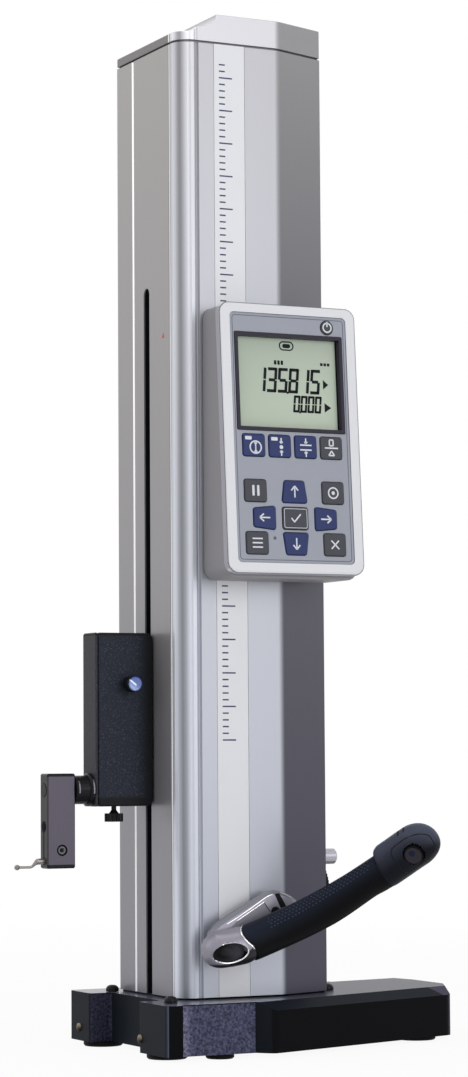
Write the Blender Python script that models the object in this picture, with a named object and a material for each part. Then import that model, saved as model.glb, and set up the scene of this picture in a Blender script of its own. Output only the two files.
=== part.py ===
# Digital height gauge: a counterbalanced slider with a touch probe on a tall column, a cast
# base, a display with keys, a handwheel and a curved grip. Metres, +Z up. The display faces -Y
# and the probe points to -X. Places are given from the foot of the column's front left edge,
# and heights on the base from its top face.
import math

import bmesh
import bpy
from mathutils import Matrix, Vector

# Fits and fineness
GAP = 0.0003
RUN_GAP = 0.0006
OVERRUN = 0.004
ARC_STEPS = 5
ROUND_SIDES = 28
SMALL_SIDES = 20
MERGE_SPACE = GAP / ROUND_SIDES
SOFT_STEPS = 2
SMOOTH_ANGLE = math.radians(35)
SEAM_ANGLE = math.radians(60)
HEX_SIDES = 6

# Column extrusion
COLUMN_WIDTH = 0.1292
COLUMN_DEPTH = 0.1106
COLUMN_TOP = 0.7155
COLUMN_WALL = 0.005
CORNER_RADIUS = 0.0135
CORNER_STEPS = 8
FACET_WIDTH = 0.0445
FACET_START = COLUMN_WIDTH - FACET_WIDTH
FACET_DEPTH = 0.0161
FACET_RADIUS = 0.016
GROOVE_WIDTH = 0.0016
GROOVE_DEPTH = 0.0010
SIDE_BEAD_SETBACK = 0.0291
SIDE_BEAD_Y = COLUMN_DEPTH - SIDE_BEAD_SETBACK
SIDE_BEAD_WIDTH = 0.0036
STRIP_LEFT = 0.0300
STRIP_RIGHT = 0.0562
STRIP_THICKNESS = 0.0012
SLIDER_SETBACK = 0.0522
SLIDER_Y = COLUMN_DEPTH - SLIDER_SETBACK
SLOT_WIDTH = 0.0104
SLOT_OFFSET = 0.0008
SLOT_Y = SLIDER_Y - SLOT_OFFSET
SLOT_TOP = 0.535

# Base casting, in plan and in height
BASE_HEIGHT = 0.0370
BASE_LEFT = 0.030
BASE_BEHIND = 0.0289
BASE_BACK = COLUMN_DEPTH + BASE_BEHIND
BASE_FRONT = 0.0345
PILLAR_FRONT = 0.038
PILLAR_WIDTH = 0.013
PILLAR_RADIUS = 0.0035
PILLAR_STEP_RADIUS = 0.0012
RECESS_START = 0.012
RECESS_SETBACK = 0.0106
RECESS_END = COLUMN_DEPTH - RECESS_SETBACK
RECESS_DEPTH = 0.018
RECESS_RADIUS = 0.003
ARM_ROOT_X = 0.043
ARM_CORNER_X = 0.053
ARM_CORNER_FRONT = 0.046
ARM_CORNER_RADIUS = 0.006
ARM_REACH = 0.253
ARM_END_SETBACK = 0.016
ARM_END_X = ARM_REACH - ARM_END_SETBACK
ARM_END_Y = 0.015
ARM_TIP_Y = 0.047
ARM_TIP_RADIUS = 0.024
ARM_BACK_INSET = 0.006
ARM_BACK_X = ARM_REACH - ARM_BACK_INSET
ARM_BACK_SETBACK = 0.0185
ARM_BACK_Y = BASE_BACK - ARM_BACK_SETBACK
ARM_BACK_RADIUS = 0.012
ARM_FAR_SETBACK = 0.025
ARM_FAR_Y = ARM_BACK_Y - ARM_FAR_SETBACK
ARM_FAR_RADIUS = 0.012
HEEL_SPACE = 0.011
HEEL_X = COLUMN_WIDTH + HEEL_SPACE
HEEL_RADIUS = 0.010
WAIST_RUN = 0.025
WAIST_X = HEEL_X + WAIST_RUN
WAIST_SETBACK = 0.012
WAIST_Y = ARM_BACK_Y - WAIST_SETBACK
WAIST_RADIUS = 0.020
BACK_LEFT_RADIUS = 0.004
CHAMFER_DROP = 0.006
CHAMFER_SETBACK = 0.011
END_CHAMFER_SETBACK = 0.0035
BACK_CHAMFER_SHARE = 0.75
SEAT_HEIGHT = 0.0012
SEAT_INSET = 0.0015

# Air pads under the base
PAD_THICKNESS = 0.0035
PAD_CHAMFER = 0.001
PAD_RADIUS = 0.015
PAD_BORDER = 0.016
PAD_NEAR_Y = -0.003
PAD_LEFT_SETBACK = 0.0275
PAD_RIGHT_SETBACK = 0.036
PAD_RIGHT_Y = 0.034
PAD_PLACES = {
    "base_pad_near": (PAD_BORDER - BASE_LEFT, PAD_NEAR_Y),
    "base_pad_left": (PAD_BORDER - BASE_LEFT, BASE_BACK - PAD_LEFT_SETBACK),
    "base_pad_right": (ARM_REACH - PAD_RIGHT_SETBACK, PAD_RIGHT_Y),
}
FRONT_PAD_RADIUS = 0.0105
FRONT_PAD_X = 0.020
FRONT_PAD_Y = -0.0215

# Pump bay in the underside of the arm
BAY_RIGHT_SETBACK = 0.054
BAY_RIGHT = ARM_REACH - BAY_RIGHT_SETBACK
BAY_LENGTH = 0.086
BAY_LEFT = BAY_RIGHT - BAY_LENGTH
BAY_FRONT = 0.026
BAY_BACK_SETBACK = 0.029
BAY_BACK = ARM_BACK_Y - BAY_BACK_SETBACK
BAY_ROOF = 0.008
BAY_RADIUS = 0.004
BAY_COVER_LEDGE = 0.004
BAY_COVER_THICKNESS = 0.002
PUMP_SHARE = 0.46
PUMP_HEAD_LENGTH = 0.012
PUMP_HEAD_RADIUS = 0.008
BAY_SOFT = 0.001

# Dome screws beside the column foot
DOME_RADIUS = 0.0050
DOME_HEIGHT = 0.0054
DOME_WAIST_SHARE = 0.35
DOME_SOCKET = 0.0024
DOME_SOCKET_DEPTH = 0.0025
DOME_SHANK_RADIUS = 0.0025
DOME_SHANK_LENGTH = 0.006
DOME_NEAR_X = -0.0155
DOME_NEAR_Y = -0.0130
DOME_LEFT_X = -0.0080
DOME_LEFT_SETBACK = 0.0026
DOME_RIGHT_SPACE = 0.0098
DOME_RIGHT_Y = 0.0340
DOME_PLACES = {
    "dome_screw_near": (DOME_NEAR_X, DOME_NEAR_Y),
    "dome_screw_left": (DOME_LEFT_X, COLUMN_DEPTH - DOME_LEFT_SETBACK),
    "dome_screw_right": (COLUMN_WIDTH + DOME_RIGHT_SPACE, DOME_RIGHT_Y),
}

# Top cap
CAP_SEAM = 0.0010
CAP_LOW = 0.0081
CAP_HIGH = 0.0228
CAP_STEP_X = 0.0115
CAP_STEP_WIDTH = 0.0050
CAP_STEP_HEIGHT = 0.0040
CAP_SWOOP_X = 0.0320
CAP_LIP = 0.006
CAP_SOFT = 0.0008

# Guide rail and measuring scale
RAIL_SHARE = 0.226
RAIL_X = COLUMN_WIDTH * RAIL_SHARE
RAIL_WIDTH = 0.016
RAIL_DEPTH = 0.014
RAIL_NOTCH = 0.003
RAIL_FOOT = 0.012
RAIL_HEADROOM = 0.0255
RAIL_TOP = COLUMN_TOP - RAIL_HEADROOM
SCALE_SHARE = 0.4334
SCALE_LEFT = COLUMN_WIDTH * SCALE_SHARE
SCALE_WIDTH = 0.018
SCALE_THICKNESS = 0.005
SCALE_SOFT = 0.0008
SCALE_FOOT = 0.060
SCALE_OVERHANG = 0.025
SCALE_TOP = SLOT_TOP + SCALE_OVERHANG

# Belt drive
DRIVE_SETBACK = 0.0611
DRIVE_Y = COLUMN_DEPTH - DRIVE_SETBACK
DRIVE_Z = 0.074
IDLER_HEADROOM = 0.0435
IDLER_Z = COLUMN_TOP - IDLER_HEADROOM
PULLEY_RADIUS = 0.0150
PULLEY_FLANGE = 0.0022
PULLEY_FLANGE_WIDTH = 0.0016
BELT_SHARE = 0.4334
BELT_LEFT = COLUMN_WIDTH * BELT_SHARE
BELT_WIDTH = 0.010
BELT_RIGHT = BELT_LEFT + BELT_WIDTH
BELT_THICKNESS = 0.0012
SHAFT_RADIUS = 0.005
AXLE_RADIUS = 0.004
AXLE_OVERHANG = 0.003
BRACKET_SPACE = 0.0117
BRACKET_WIDTH = 0.028
BRACKET_HEIGHT = 0.034

# Counterweight
WEIGHT_LEFT = 0.042
WEIGHT_WIDTH = 0.054
WEIGHT_SPACE = 0.0080
WEIGHT_FRONT = COLUMN_WALL + WEIGHT_SPACE
WEIGHT_BACK_SPACE = 0.0030
WEIGHT_BACK = DRIVE_Y - WEIGHT_BACK_SPACE
WEIGHT_Z = 0.420
WEIGHT_LENGTH = 0.150

# Slider outside the column
SLIDER_WIDTH = 0.0450
SLIDER_CLEAR = 0.0010
SLIDER_DEPTH = 0.0240
SLIDER_LOW = 0.1410
SLIDER_HIGH = 0.2710
SLIDER_RADIUS = 0.0045
SLIDER_SEAM_RADIUS = 0.0020
SLIDER_SOFT = 0.0012
COVER_THICKNESS = 0.0020
COVER_SOFT = 0.0008

# Carriage and reading head
CARRIAGE_LEFT = 0.012
CARRIAGE_RIGHT = BELT_LEFT - PULLEY_FLANGE_WIDTH - AXLE_OVERHANG - 2 * RUN_GAP
CARRIAGE_FRONT_SPACE = 0.0104
CARRIAGE_FRONT = SLIDER_Y - CARRIAGE_FRONT_SPACE
CARRIAGE_SHOULDER_SPACE = 0.0053
CARRIAGE_ARM = 0.0075
CARRIAGE_BACK_GAP = 0.003
CARRIAGE_RISE = 0.035
CARRIAGE_LOW = SLIDER_LOW + CARRIAGE_RISE
CARRIAGE_DROP = 0.015
CARRIAGE_HIGH = SLIDER_HIGH - CARRIAGE_DROP
NECK_THICKNESS = 0.008
TAB_DEPTH = 0.009
HEAD_WIDTH = 0.022
HEAD_SETBACK = 0.0306
HEAD_FRONT = COLUMN_DEPTH - HEAD_SETBACK
HEAD_RISE = 0.022
HEAD_LOW = CARRIAGE_LOW + HEAD_RISE
HEAD_LENGTH = 0.038
HEAD_HIGH = HEAD_LOW + HEAD_LENGTH
HEAD_SOFT = 0.001

# Feed lock knob on the slider
LOCK_X = 0.0214
LOCK_DROP = 0.0385
LOCK_Z = SLIDER_HIGH - LOCK_DROP
LOCK_RADIUS = 0.0062
LOCK_LENGTH = 0.0118
LOCK_NECK_RADIUS = 0.0044
LOCK_NECK_LENGTH = 0.0030
LOCK_STEM_RADIUS = 0.0022
LOCK_STEM_DEPTH = 0.010
LOCK_SOFT = 0.0008
LOCK_CAP_RADIUS = 0.0055
LOCK_CAP_THICKNESS = 0.0014
LOCK_CAP_SEAT = 0.0006

# Thumb screw under the slider
THUMB_X = 0.0285
THUMB_RADIUS = 0.0070
THUMB_HEIGHT = 0.0062
THUMB_TEETH = 18
THUMB_TOOTH = 0.0007
THUMB_CONE_RADIUS = 0.0038
THUMB_CONE_HEIGHT = 0.0026
THUMB_STEM_RADIUS = 0.0019
THUMB_STEM_SHOW = 0.0028

# Probe holder
PROBE_RISE = 0.0125
PROBE_Z = SLIDER_LOW + PROBE_RISE
COLLAR_RADIUS = 0.0124
COLLAR_LENGTH = 0.0032
COLLAR_CHAMFER = 0.0012
HOLDER_RADIUS = 0.0107
HOLDER_LENGTH = 0.0105
JOURNAL_RADIUS = 0.0055
JOURNAL_DEPTH = 0.026
BLOCK_WIDTH = 0.0226
BLOCK_DEPTH = 0.0140
BLOCK_RISE = 0.0123
BLOCK_TOP = PROBE_Z + BLOCK_RISE
BLOCK_LENGTH = 0.0703
BLOCK_BOTTOM = BLOCK_TOP - BLOCK_LENGTH
BLOCK_CHAMFER = 0.0020
SPIGOT_RADIUS = 0.0050
STYLUS_RISE = 0.0053
STYLUS_Z = BLOCK_BOTTOM + STYLUS_RISE
KEYHOLE_RISE = 0.0257
KEYHOLE_Z = STYLUS_Z + KEYHOLE_RISE
KEYHOLE_RADIUS = 0.0044
SLIT_WIDTH = 0.0020
SHANK_RADIUS = 0.0023
SHANK_DEPTH = 0.0190
CLAMP_X = 0.0108
CLAMP_RISE = 0.0082
CLAMP_Z = STYLUS_Z + CLAMP_RISE
CLAMP_RADIUS = 0.0040
CLAMP_HEAD = 0.0030
CLAMP_SOCKET = 0.0022
CLAMP_STEM_RADIUS = 0.0018
CLAMP_STEM_LENGTH = 0.0090

# Stylus, along its run from the block's left face
STYLUS_SHANK_RUN = 0.0050
STYLUS_BEND_RUN = 0.0060
STYLUS_DROP = 0.0040
STYLUS_ROD_RUN = 0.0105
STYLUS_ROD_RADIUS = 0.0010
STYLUS_BALL_RADIUS = 0.0021
STYLUS_SIDES = 14
STYLUS_BEND_STEPS = 6

# Display case
DISPLAY_X = 0.0745
DISPLAY_FRONT = 0.0392
DISPLAY_Z = 0.4125
DISPLAY_TILT = math.radians(3.8)
SHELL_WIDTH = 0.1145
SHELL_HEIGHT = 0.2034
SHELL_Z = 0.0009
SHELL_DEPTH = 0.0080
SHELL_RADIUS = 0.0085
SHELL_SOFT = 0.0022
SHELL_LIP = 0.0012
HOUSING_INSET = 0.0016
HOUSING_CHIN = 0.0045
HOUSING_RADIUS = 0.0090
HOUSING_SOFT = 0.0015
SHELL_RIM = 0.00875
SHELL_RIM_TOP = 0.0079
SHELL_RIM_BOTTOM = 0.0085
PANEL_WIDTH = SHELL_WIDTH - 2 * SHELL_RIM
PANEL_HEIGHT = SHELL_HEIGHT - SHELL_RIM_TOP - SHELL_RIM_BOTTOM
PANEL_Z = SHELL_Z + (SHELL_RIM_BOTTOM - SHELL_RIM_TOP) / 2
PANEL_TOP = PANEL_Z + PANEL_HEIGHT / 2
PANEL_BOTTOM = PANEL_Z - PANEL_HEIGHT / 2
PANEL_RADIUS = 0.0035
PANEL_RECESS = 0.0006
PANEL_THICKNESS = 0.0018

# Liquid crystal display
LCD_BORDER = 0.0027
LCD_MARGIN = 0.0033
LCD_WIDTH = PANEL_WIDTH - 2 * (LCD_BORDER + LCD_MARGIN)
POWER_BAND_SHARE = 0.0773
POWER_BAND = PANEL_HEIGHT * POWER_BAND_SHARE
KEYPAD_SHARE = 0.5275
KEYPAD_HEIGHT = PANEL_HEIGHT * KEYPAD_SHARE
LCD_HEIGHT = PANEL_HEIGHT - POWER_BAND - KEYPAD_HEIGHT - 2 * LCD_BORDER
LCD_Z = PANEL_BOTTOM + KEYPAD_HEIGHT + LCD_BORDER + LCD_HEIGHT / 2
LCD_RADIUS = 0.0012
LCD_SINK = 0.0056
LCD_GLASS_THICKNESS = 0.0040
LCD_GLASS_OVERLAP = 0.0018

# Keys
KEY_MARGIN = 0.0070
KEY_SPACE = 0.0034
KEY_COLUMNS = 4
KEY_WIDTH = (PANEL_WIDTH - 2 * KEY_MARGIN + KEY_SPACE) / KEY_COLUMNS - KEY_SPACE
KEY_PITCH = KEY_WIDTH + KEY_SPACE
KEY_HEIGHT_SHARE = 0.1683
KEY_HEIGHT = KEYPAD_HEIGHT * KEY_HEIGHT_SHARE
KEY_RADIUS = 0.0018
KEY_PROUD = 0.0010
KEY_DEEP = 0.0040
KEY_PLAY = 0.0005
KEY_SOFT = 0.0005
KEY_TRAVEL = 0.0008
KEY_ROW_SHARES = (0.885, 0.5403, 0.3376, 0.145)
KEY_ROWS = [PANEL_BOTTOM + KEYPAD_HEIGHT * share for share in KEY_ROW_SHARES]
ARROW_WIDTH = 0.0212
ARROW_SPACE = 0.0059
ARROW_X = ARROW_WIDTH / 2 + ARROW_SPACE + KEY_WIDTH / 2
ARROW_HEIGHT_SHARE = 0.1804
ARROW_HEIGHT = KEYPAD_HEIGHT * ARROW_HEIGHT_SHARE
ARROW_NARROW_SHARE = 0.78
POWER_SIDE = 0.0157
POWER_X = PANEL_WIDTH / 2 - POWER_SIDE
POWER_DROP_SHARE = 0.547
POWER_Z = PANEL_TOP - POWER_BAND * POWER_DROP_SHARE
POWER_RADIUS = 0.0052

# Circuit board behind the keys
BOARD_BORDER = 0.0030
BOARD_SPACE = 0.0040
BOARD_DEPTH = PANEL_RECESS + PANEL_THICKNESS + KEY_DEEP + KEY_TRAVEL + BOARD_SPACE
BOARD_THICKNESS = 0.0016
BOARD_LEDGE = 0.0040
HOUSING_POCKET = 0.0180

# Handwheel on the drive shaft
WHEEL_SHARE = 0.226
WHEEL_RADIUS = COLUMN_DEPTH * WHEEL_SHARE
WHEEL_TOOTH = 0.0008
WHEEL_TEETH = 56
WHEEL_CLEAR = 0.0018
WHEEL_THICKNESS = 0.0060
WHEEL_HUB_RADIUS = 0.0100
WHEEL_HUB_LENGTH = 0.0110
WHEEL_RIM = 0.0040
WHEEL_DISH_RADIUS = WHEEL_RADIUS - WHEEL_RIM
WHEEL_DISH_DEPTH = 0.0018

# Side knob
SIDE_KNOB_Y = 0.024
SIDE_KNOB_Z = 0.101
SIDE_KNOB_RADIUS = 0.0059
SIDE_KNOB_LENGTH = 0.0112
SIDE_KNOB_CHAMFER = 0.0010
SIDE_KNOB_STEM_RADIUS = 0.0030
SIDE_KNOB_STEM_LENGTH = 0.0110

# Grip: the middle line of the curved handle from its root at the lobe to its tip
GRIP_LINE = (
    (0.0401, -0.0300, 0.0412),
    (0.0612, -0.0340, 0.0495),
    (0.0855, -0.0450, 0.0617),
    (0.1074, -0.0620, 0.0768),
    (0.1238, -0.0780, 0.0911),
    (0.1324, -0.0880, 0.0996),
    (0.1423, -0.1018, 0.1103),
    (0.1511, -0.1156, 0.1187),
)
GRIP_SIDES = 20
GRIP_STEPS = 4
CORE_SIDES = 12
CORE_STEPS = 10
SLEEVE_STEPS = 13
LEG_STEPS = 5
LOBE_STEPS = 3
SLEEVE_START_SHARE = 0.030
SLEEVE_END_SHARE = 0.700
SLEEVE_HALF_HEIGHT = 0.0138
SLEEVE_HALF_DEPTH = 0.0122
SLEEVE_ROLL = 0.0025
CORE_RADIUS = 0.0060
CORE_END_SHARE = 0.820
TIP_HALF_HEIGHT = 0.0162
TIP_HALF_DEPTH = 0.0140
TIP_RISE = 0.0030
TIP_ROUND_SHARE = 0.88
AIR_BUTTON_SHARE = 0.889
AIR_BUTTON_RADIUS = 0.0072
AIR_BUTTON_PROUD = 0.0012
AIR_BUTTON_DEPTH = 0.0050
AIR_BUTTON_TRAVEL = 0.0015
AIR_BUTTON_TURN = math.radians(-31)
VENT_SHARE = 0.800
VENT_WIDTH = 0.0022
VENT_LENGTH = 0.0100
VENT_DEPTH = 0.0030
VENT_SPACING = 0.0046

# Grip bracket: the lobe at the grip's root and the leg along the column
LOBE_LINE = (
    (0.0042, -0.0240, 0.0378),
    (0.0160, -0.0262, 0.0372),
    (0.0280, -0.0285, 0.0385),
    (0.0401, -0.0300, 0.0412),
)
LOBE_HALF_HEIGHT = 0.0139
LOBE_HALF_DEPTH = 0.0130
LOBE_ROUND_SHARE = 0.38
LEG_LINE = (
    (0.0180, -0.0150, 0.0385),
    (0.0280, -0.0105, 0.0450),
    (0.0450, -0.0098, 0.0555),
    (0.0640, -0.0098, 0.0660),
    (0.0830, -0.0098, 0.0655),
)
LEG_HALF_HEIGHT = 0.0128
LEG_HALF_DEPTH = 0.0072
LEG_END_ROUND_SHARE = 0.70
LEG_PAD_LEFT = 0.056
LEG_PAD_RIGHT = 0.078
LEG_PAD_LOW = 0.056
LEG_PAD_HIGH = 0.070
LEG_SLOT_X = 0.0745
LEG_SLOT_Z = 0.0705
LEG_SLOT_LENGTH = 0.0120
LEG_SLOT_WIDTH = 0.0022
LEG_SLOT_DEPTH = 0.0050
LEG_SLOT_TURN = math.radians(30)
LEG_HOLE_X = 0.0700
LEG_HOLE_Z = 0.0620
LEG_HOLE_RADIUS = 0.0026
DISH_X = 0.0205
DISH_Z = 0.0355
DISH_HALF_WIDTH = 0.0138
DISH_HALF_HEIGHT = 0.0076
DISH_FLOOR_Y = -0.0300
DISH_CAP_FRONT_Y = -0.0345
DISH_SINK_SHARE = 0.45
DISH_RING_SHARES = (1, 1, 0.8, 0.4)

# Finishes: colour, roughness and metallic
FINISHES = {
    "cast": ((0.014, 0.017, 0.026), 0.45, 0.0),
    "column": ((0.56, 0.56, 0.59), 0.38, 0.6),
    "strip": ((0.66, 0.67, 0.71), 0.40, 0.3),
    "silver": ((0.80, 0.80, 0.82), 0.35, 0.3),
    "housing_grey": ((0.30, 0.29, 0.30), 0.50, 0.1),
    "panel": ((0.38, 0.41, 0.46), 0.50, 0.0),
    "lcd": ((0.36, 0.42, 0.35), 0.20, 0.0),
    "dark": ((0.030, 0.030, 0.036), 0.45, 0.0),
    "blue_key": ((0.025, 0.045, 0.14), 0.45, 0.0),
    "grey_key": ((0.065, 0.068, 0.078), 0.50, 0.0),
    "rubber": ((0.016, 0.018, 0.026), 0.75, 0.0),
    "steel": ((0.55, 0.54, 0.55), 0.30, 1.0),
    "block_metal": ((0.18, 0.16, 0.17), 0.40, 0.8),
    "blue_cap": ((0.10, 0.30, 0.60), 0.25, 0.2),
    "board_green": ((0.03, 0.16, 0.07), 0.50, 0.0),
    "belt": ((0.30, 0.30, 0.32), 0.40, 0.6),
}


def clear_scene():
    for item in list(bpy.data.objects):
        bpy.data.objects.remove(item, do_unlink=True)


def give_finish(item, finish):
    colour, roughness, metallic = FINISHES[finish]
    made = bpy.data.materials.new(item.name + "_" + finish)
    made.use_nodes = True
    made.diffuse_color = (*colour, 1)
    shader = made.node_tree.nodes["Principled BSDF"]
    shader.inputs["Base Color"].default_value = (*colour, 1)
    shader.inputs["Roughness"].default_value = roughness
    shader.inputs["Metallic"].default_value = metallic
    item.data.materials.clear()
    item.data.materials.append(made)


def item_from(build, name="tool"):
    bmesh.ops.recalc_face_normals(build, faces=build.faces)
    mesh = bpy.data.meshes.new(name)
    build.to_mesh(mesh)
    build.free()
    item = bpy.data.objects.new(name, mesh)
    bpy.context.collection.objects.link(item)
    return item


def bake(item):
    graph = bpy.context.evaluated_depsgraph_get()
    graph.update()
    mesh = bpy.data.meshes.new_from_object(item.evaluated_get(graph))
    item.modifiers.clear()
    spent = item.data
    item.data = mesh
    bpy.data.meshes.remove(spent)


def combine(item, tool, operation):
    step = item.modifiers.new("combine", "BOOLEAN")
    step.operation = operation
    step.object = tool
    bake(item)
    bpy.data.objects.remove(tool, do_unlink=True)


def cut(item, tool):
    combine(item, tool, "DIFFERENCE")


def join(item, tool):
    combine(item, tool, "UNION")


def soften(item, width, steps=SOFT_STEPS, angle=SMOOTH_ANGLE):
    step = item.modifiers.new("soften", "BEVEL")
    step.width = width
    step.segments = steps
    step.limit_method = "ANGLE"
    step.angle_limit = angle
    bake(item)


# Puts the origin at the given place and hangs the piece under its parent
def settle(item, name, finish, parent, origin=(0, 0, 0)):
    item.name = name
    item.data.name = name
    item.data.transform(Matrix.Translation(-Vector(origin)))
    item.location = origin
    item.parent = parent
    give_finish(item, finish)
    item.data.shade_smooth()
    item.data.set_sharp_from_angle(angle=SMOOTH_ANGLE)


def along(axis, first, second, height):
    if axis == "Z":
        return Vector((first, second, height))
    if axis == "Y":
        return Vector((first, height, second))
    return Vector((height, first, second))


# Closed outline pushed from one height to another along an axis
def prism(outline, low, high, axis="Z"):
    build = bmesh.new()
    corners = [build.verts.new(along(axis, first, second, low)) for first, second in outline]
    face = build.faces.new(corners)
    pushed = bmesh.ops.extrude_face_region(build, geom=[face])
    moved = [part for part in pushed["geom"] if isinstance(part, bmesh.types.BMVert)]
    bmesh.ops.translate(build, verts=moved, vec=along(axis, 0, 0, high - low))
    return item_from(build)


def box(xs, ys, zs):
    outline = ((xs[0], ys[0]), (xs[1], ys[0]), (xs[1], ys[1]), (xs[0], ys[1]))
    return prism(outline, zs[0], zs[1])


def rectangle(width, height, centre=(0, 0)):
    left = centre[0] - width / 2
    low = centre[1] - height / 2
    return ((left, low), (left + width, low), (left + width, low + height), (left, low + height))


def circle(radius, centre=(0, 0), sides=ROUND_SIDES):
    turns = [2 * math.pi * step / sides for step in range(sides)]
    return [(centre[0] + radius * math.cos(turn), centre[1] + radius * math.sin(turn)) for turn in turns]


def ellipse(half_width, half_height, centre, sides=ROUND_SIDES):
    return [(centre[0] + x * half_width, centre[1] + y * half_height) for x, y in circle(1, sides=sides)]


def toothed(radius, tooth, teeth, centre=(0, 0)):
    outline = []
    for step in range(2 * teeth):
        reach = radius - tooth * (step % 2)
        turn = math.pi * step / teeth
        outline.append((centre[0] + reach * math.cos(turn), centre[1] + reach * math.sin(turn)))
    return outline


# Outline with each corner (x, y, radius) turned into an arc
def rounded(corners, steps=ARC_STEPS):
    outline = []
    for index, (x, y, radius) in enumerate(corners):
        here = Vector((x, y))
        if radius == 0:
            outline.append(here)
            continue
        before = (Vector(corners[index - 1][:2]) - here).normalized()
        after = (Vector(corners[(index + 1) % len(corners)][:2]) - here).normalized()
        half = before.angle(after) / 2
        middle = here + (before + after).normalized() * (radius / math.sin(half))
        start = here + before * (radius / math.tan(half)) - middle
        end = here + after * (radius / math.tan(half)) - middle
        sweep = -start.angle_signed(end)
        for step in range(steps + 1):
            outline.append(middle + Matrix.Rotation(sweep * step / steps, 2) @ start)
    return outline


def all_rounded(points, radius, steps=ARC_STEPS):
    return rounded([(x, y, radius) for x, y in points], steps)


# Offsets a counter-clockwise outline of straight edges inward
def inset(points, distance):
    lines = []
    for index, point in enumerate(points):
        start = Vector(point)
        run = (Vector(points[(index + 1) % len(points)]) - start).normalized()
        lines.append((start + Vector((-run.y, run.x)) * distance, run))
    outline = []
    for index, (start, run) in enumerate(lines):
        other, turn = lines[index - 1]
        step = (start - other).cross(run) / turn.cross(run)
        outline.append(tuple(other + turn * step))
    return outline


# Profile of (radius, height) turned round an axis through the centre
def turned(profile, centre, axis="Z", sides=ROUND_SIDES):
    build = bmesh.new()
    points = [along(axis, radius, 0, height) for radius, height in profile]
    verts = [build.verts.new(point) for point in points]
    edges = [build.edges.new(pair) for pair in zip(verts, verts[1:])]
    bmesh.ops.spin(build, geom=verts + edges, cent=(0, 0, 0), axis=along(axis, 0, 0, 1), angle=2 * math.pi,
                   steps=sides, use_merge=True, use_normal_flip=False, use_duplicate=False)
    bmesh.ops.remove_doubles(build, verts=build.verts, dist=MERGE_SPACE)
    bmesh.ops.translate(build, verts=build.verts, vec=centre)
    return item_from(build)


def rod(radius, low, high, centre, axis, sides=SMALL_SIDES):
    return prism(circle(radius, centre, sides), low, high, axis)


# Smooth line through the given points, as (point, direction) at even steps
def smooth_line(points, steps=GRIP_STEPS):
    knots = [Vector(point) for point in points]
    knots = [2 * knots[0] - knots[1]] + knots + [2 * knots[-1] - knots[-2]]
    line = []
    for index in range(1, len(knots) - 2):
        a, b, c, d = knots[index - 1:index + 3]
        for step in range(steps):
            t = step / steps
            line.append((2 * b + (c - a) * t + (2 * a - 5 * b + 4 * c - d) * t * t
                         + (3 * b - a - 3 * c + d) * t ** 3) / 2)
    line.append(knots[-2])
    return line


# Point and frame at a share of a line's length
def at_share(line, share):
    lengths = [(after - before).length for before, after in zip(line, line[1:])]
    left = share * sum(lengths)
    index = 0
    while index < len(lengths) - 1 and left > lengths[index]:
        left -= lengths[index]
        index += 1
    before = line[index]
    after = line[index + 1]
    point = before.lerp(after, left / lengths[index])
    direction = (line[min(index + 2, len(line) - 1)] - line[max(index - 1, 0)]).normalized()
    side = direction.cross(Vector((0, 0, 1))).normalized()
    return point, direction, side, side.cross(direction)


# Skin over rings of equal counts, closed at both ends
def skin(rings):
    build = bmesh.new()
    loops = [[build.verts.new(point) for point in ring] for ring in rings]
    for first, second in zip(loops, loops[1:]):
        for index in range(len(first)):
            after = (index + 1) % len(first)
            build.faces.new((first[index], first[after], second[after], second[index]))
    build.faces.new(loops[0])
    build.faces.new(loops[-1])
    return item_from(build)


# Tube of oval section along a line; each station is (share, half depth, half height, rise)
def oval_tube(line, stations, sides=GRIP_SIDES):
    rings = []
    for share, half_depth, half_height, rise in stations:
        point, _, side, up = at_share(line, share)
        ring = [point + up * rise + side * x * half_depth + up * y * half_height
                for x, y in circle(1, sides=sides)]
        rings.append(ring)
    return skin(rings)


def column_corners():
    return [
        (0, COLUMN_DEPTH),
        (0, 0),
        (FACET_START, 0),
        (COLUMN_WIDTH, FACET_DEPTH),
        (COLUMN_WIDTH, COLUMN_DEPTH),
    ]


def column_inset(distance):
    corners = inset(column_corners(), distance)
    radii = [0, CORNER_RADIUS - distance, FACET_RADIUS - distance, 0, 0]
    return rounded([(x, y, radius) for (x, y), radius in zip(corners, radii)], CORNER_STEPS)


# Vee groove across a straight edge, as three outline points
def vee(middle, run, inward, width, depth):
    middle = Vector(middle)
    run = Vector(run)
    return [middle - run * width / 2, middle + Vector(inward) * depth, middle + run * width / 2]


def column_outline():
    first = CORNER_RADIUS + GROOVE_WIDTH
    second = first + GROOVE_WIDTH
    outline = [Vector((0, COLUMN_DEPTH))]
    outline += vee((0, SIDE_BEAD_Y), (0, -1), (1, 0), SIDE_BEAD_WIDTH, GROOVE_DEPTH)
    outline += vee((0, second), (0, -1), (1, 0), GROOVE_WIDTH, GROOVE_DEPTH)
    outline += vee((0, first), (0, -1), (1, 0), GROOVE_WIDTH, GROOVE_DEPTH)[1:]
    middle = Vector((CORNER_RADIUS, CORNER_RADIUS))
    for step in range(CORNER_STEPS + 1):
        turn = math.pi + math.pi / 2 * step / CORNER_STEPS
        outline.append(middle + Vector((math.cos(turn), math.sin(turn))) * CORNER_RADIUS)
    outline += vee((first, 0), (1, 0), (0, 1), GROOVE_WIDTH, GROOVE_DEPTH)
    outline += vee((second, 0), (1, 0), (0, 1), GROOVE_WIDTH, GROOVE_DEPTH)[1:]
    recess = STRIP_THICKNESS + GAP
    outline += [Vector((STRIP_LEFT, 0)), Vector((STRIP_LEFT, recess))]
    outline += [Vector((STRIP_RIGHT, recess)), Vector((STRIP_RIGHT, 0))]
    radii = [0, 0, FACET_RADIUS, 0, 0]
    corners = [(x, y, radius) for (x, y), radius in zip(column_corners(), radii)]
    return outline + rounded(corners, CORNER_STEPS)[2:]


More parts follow.
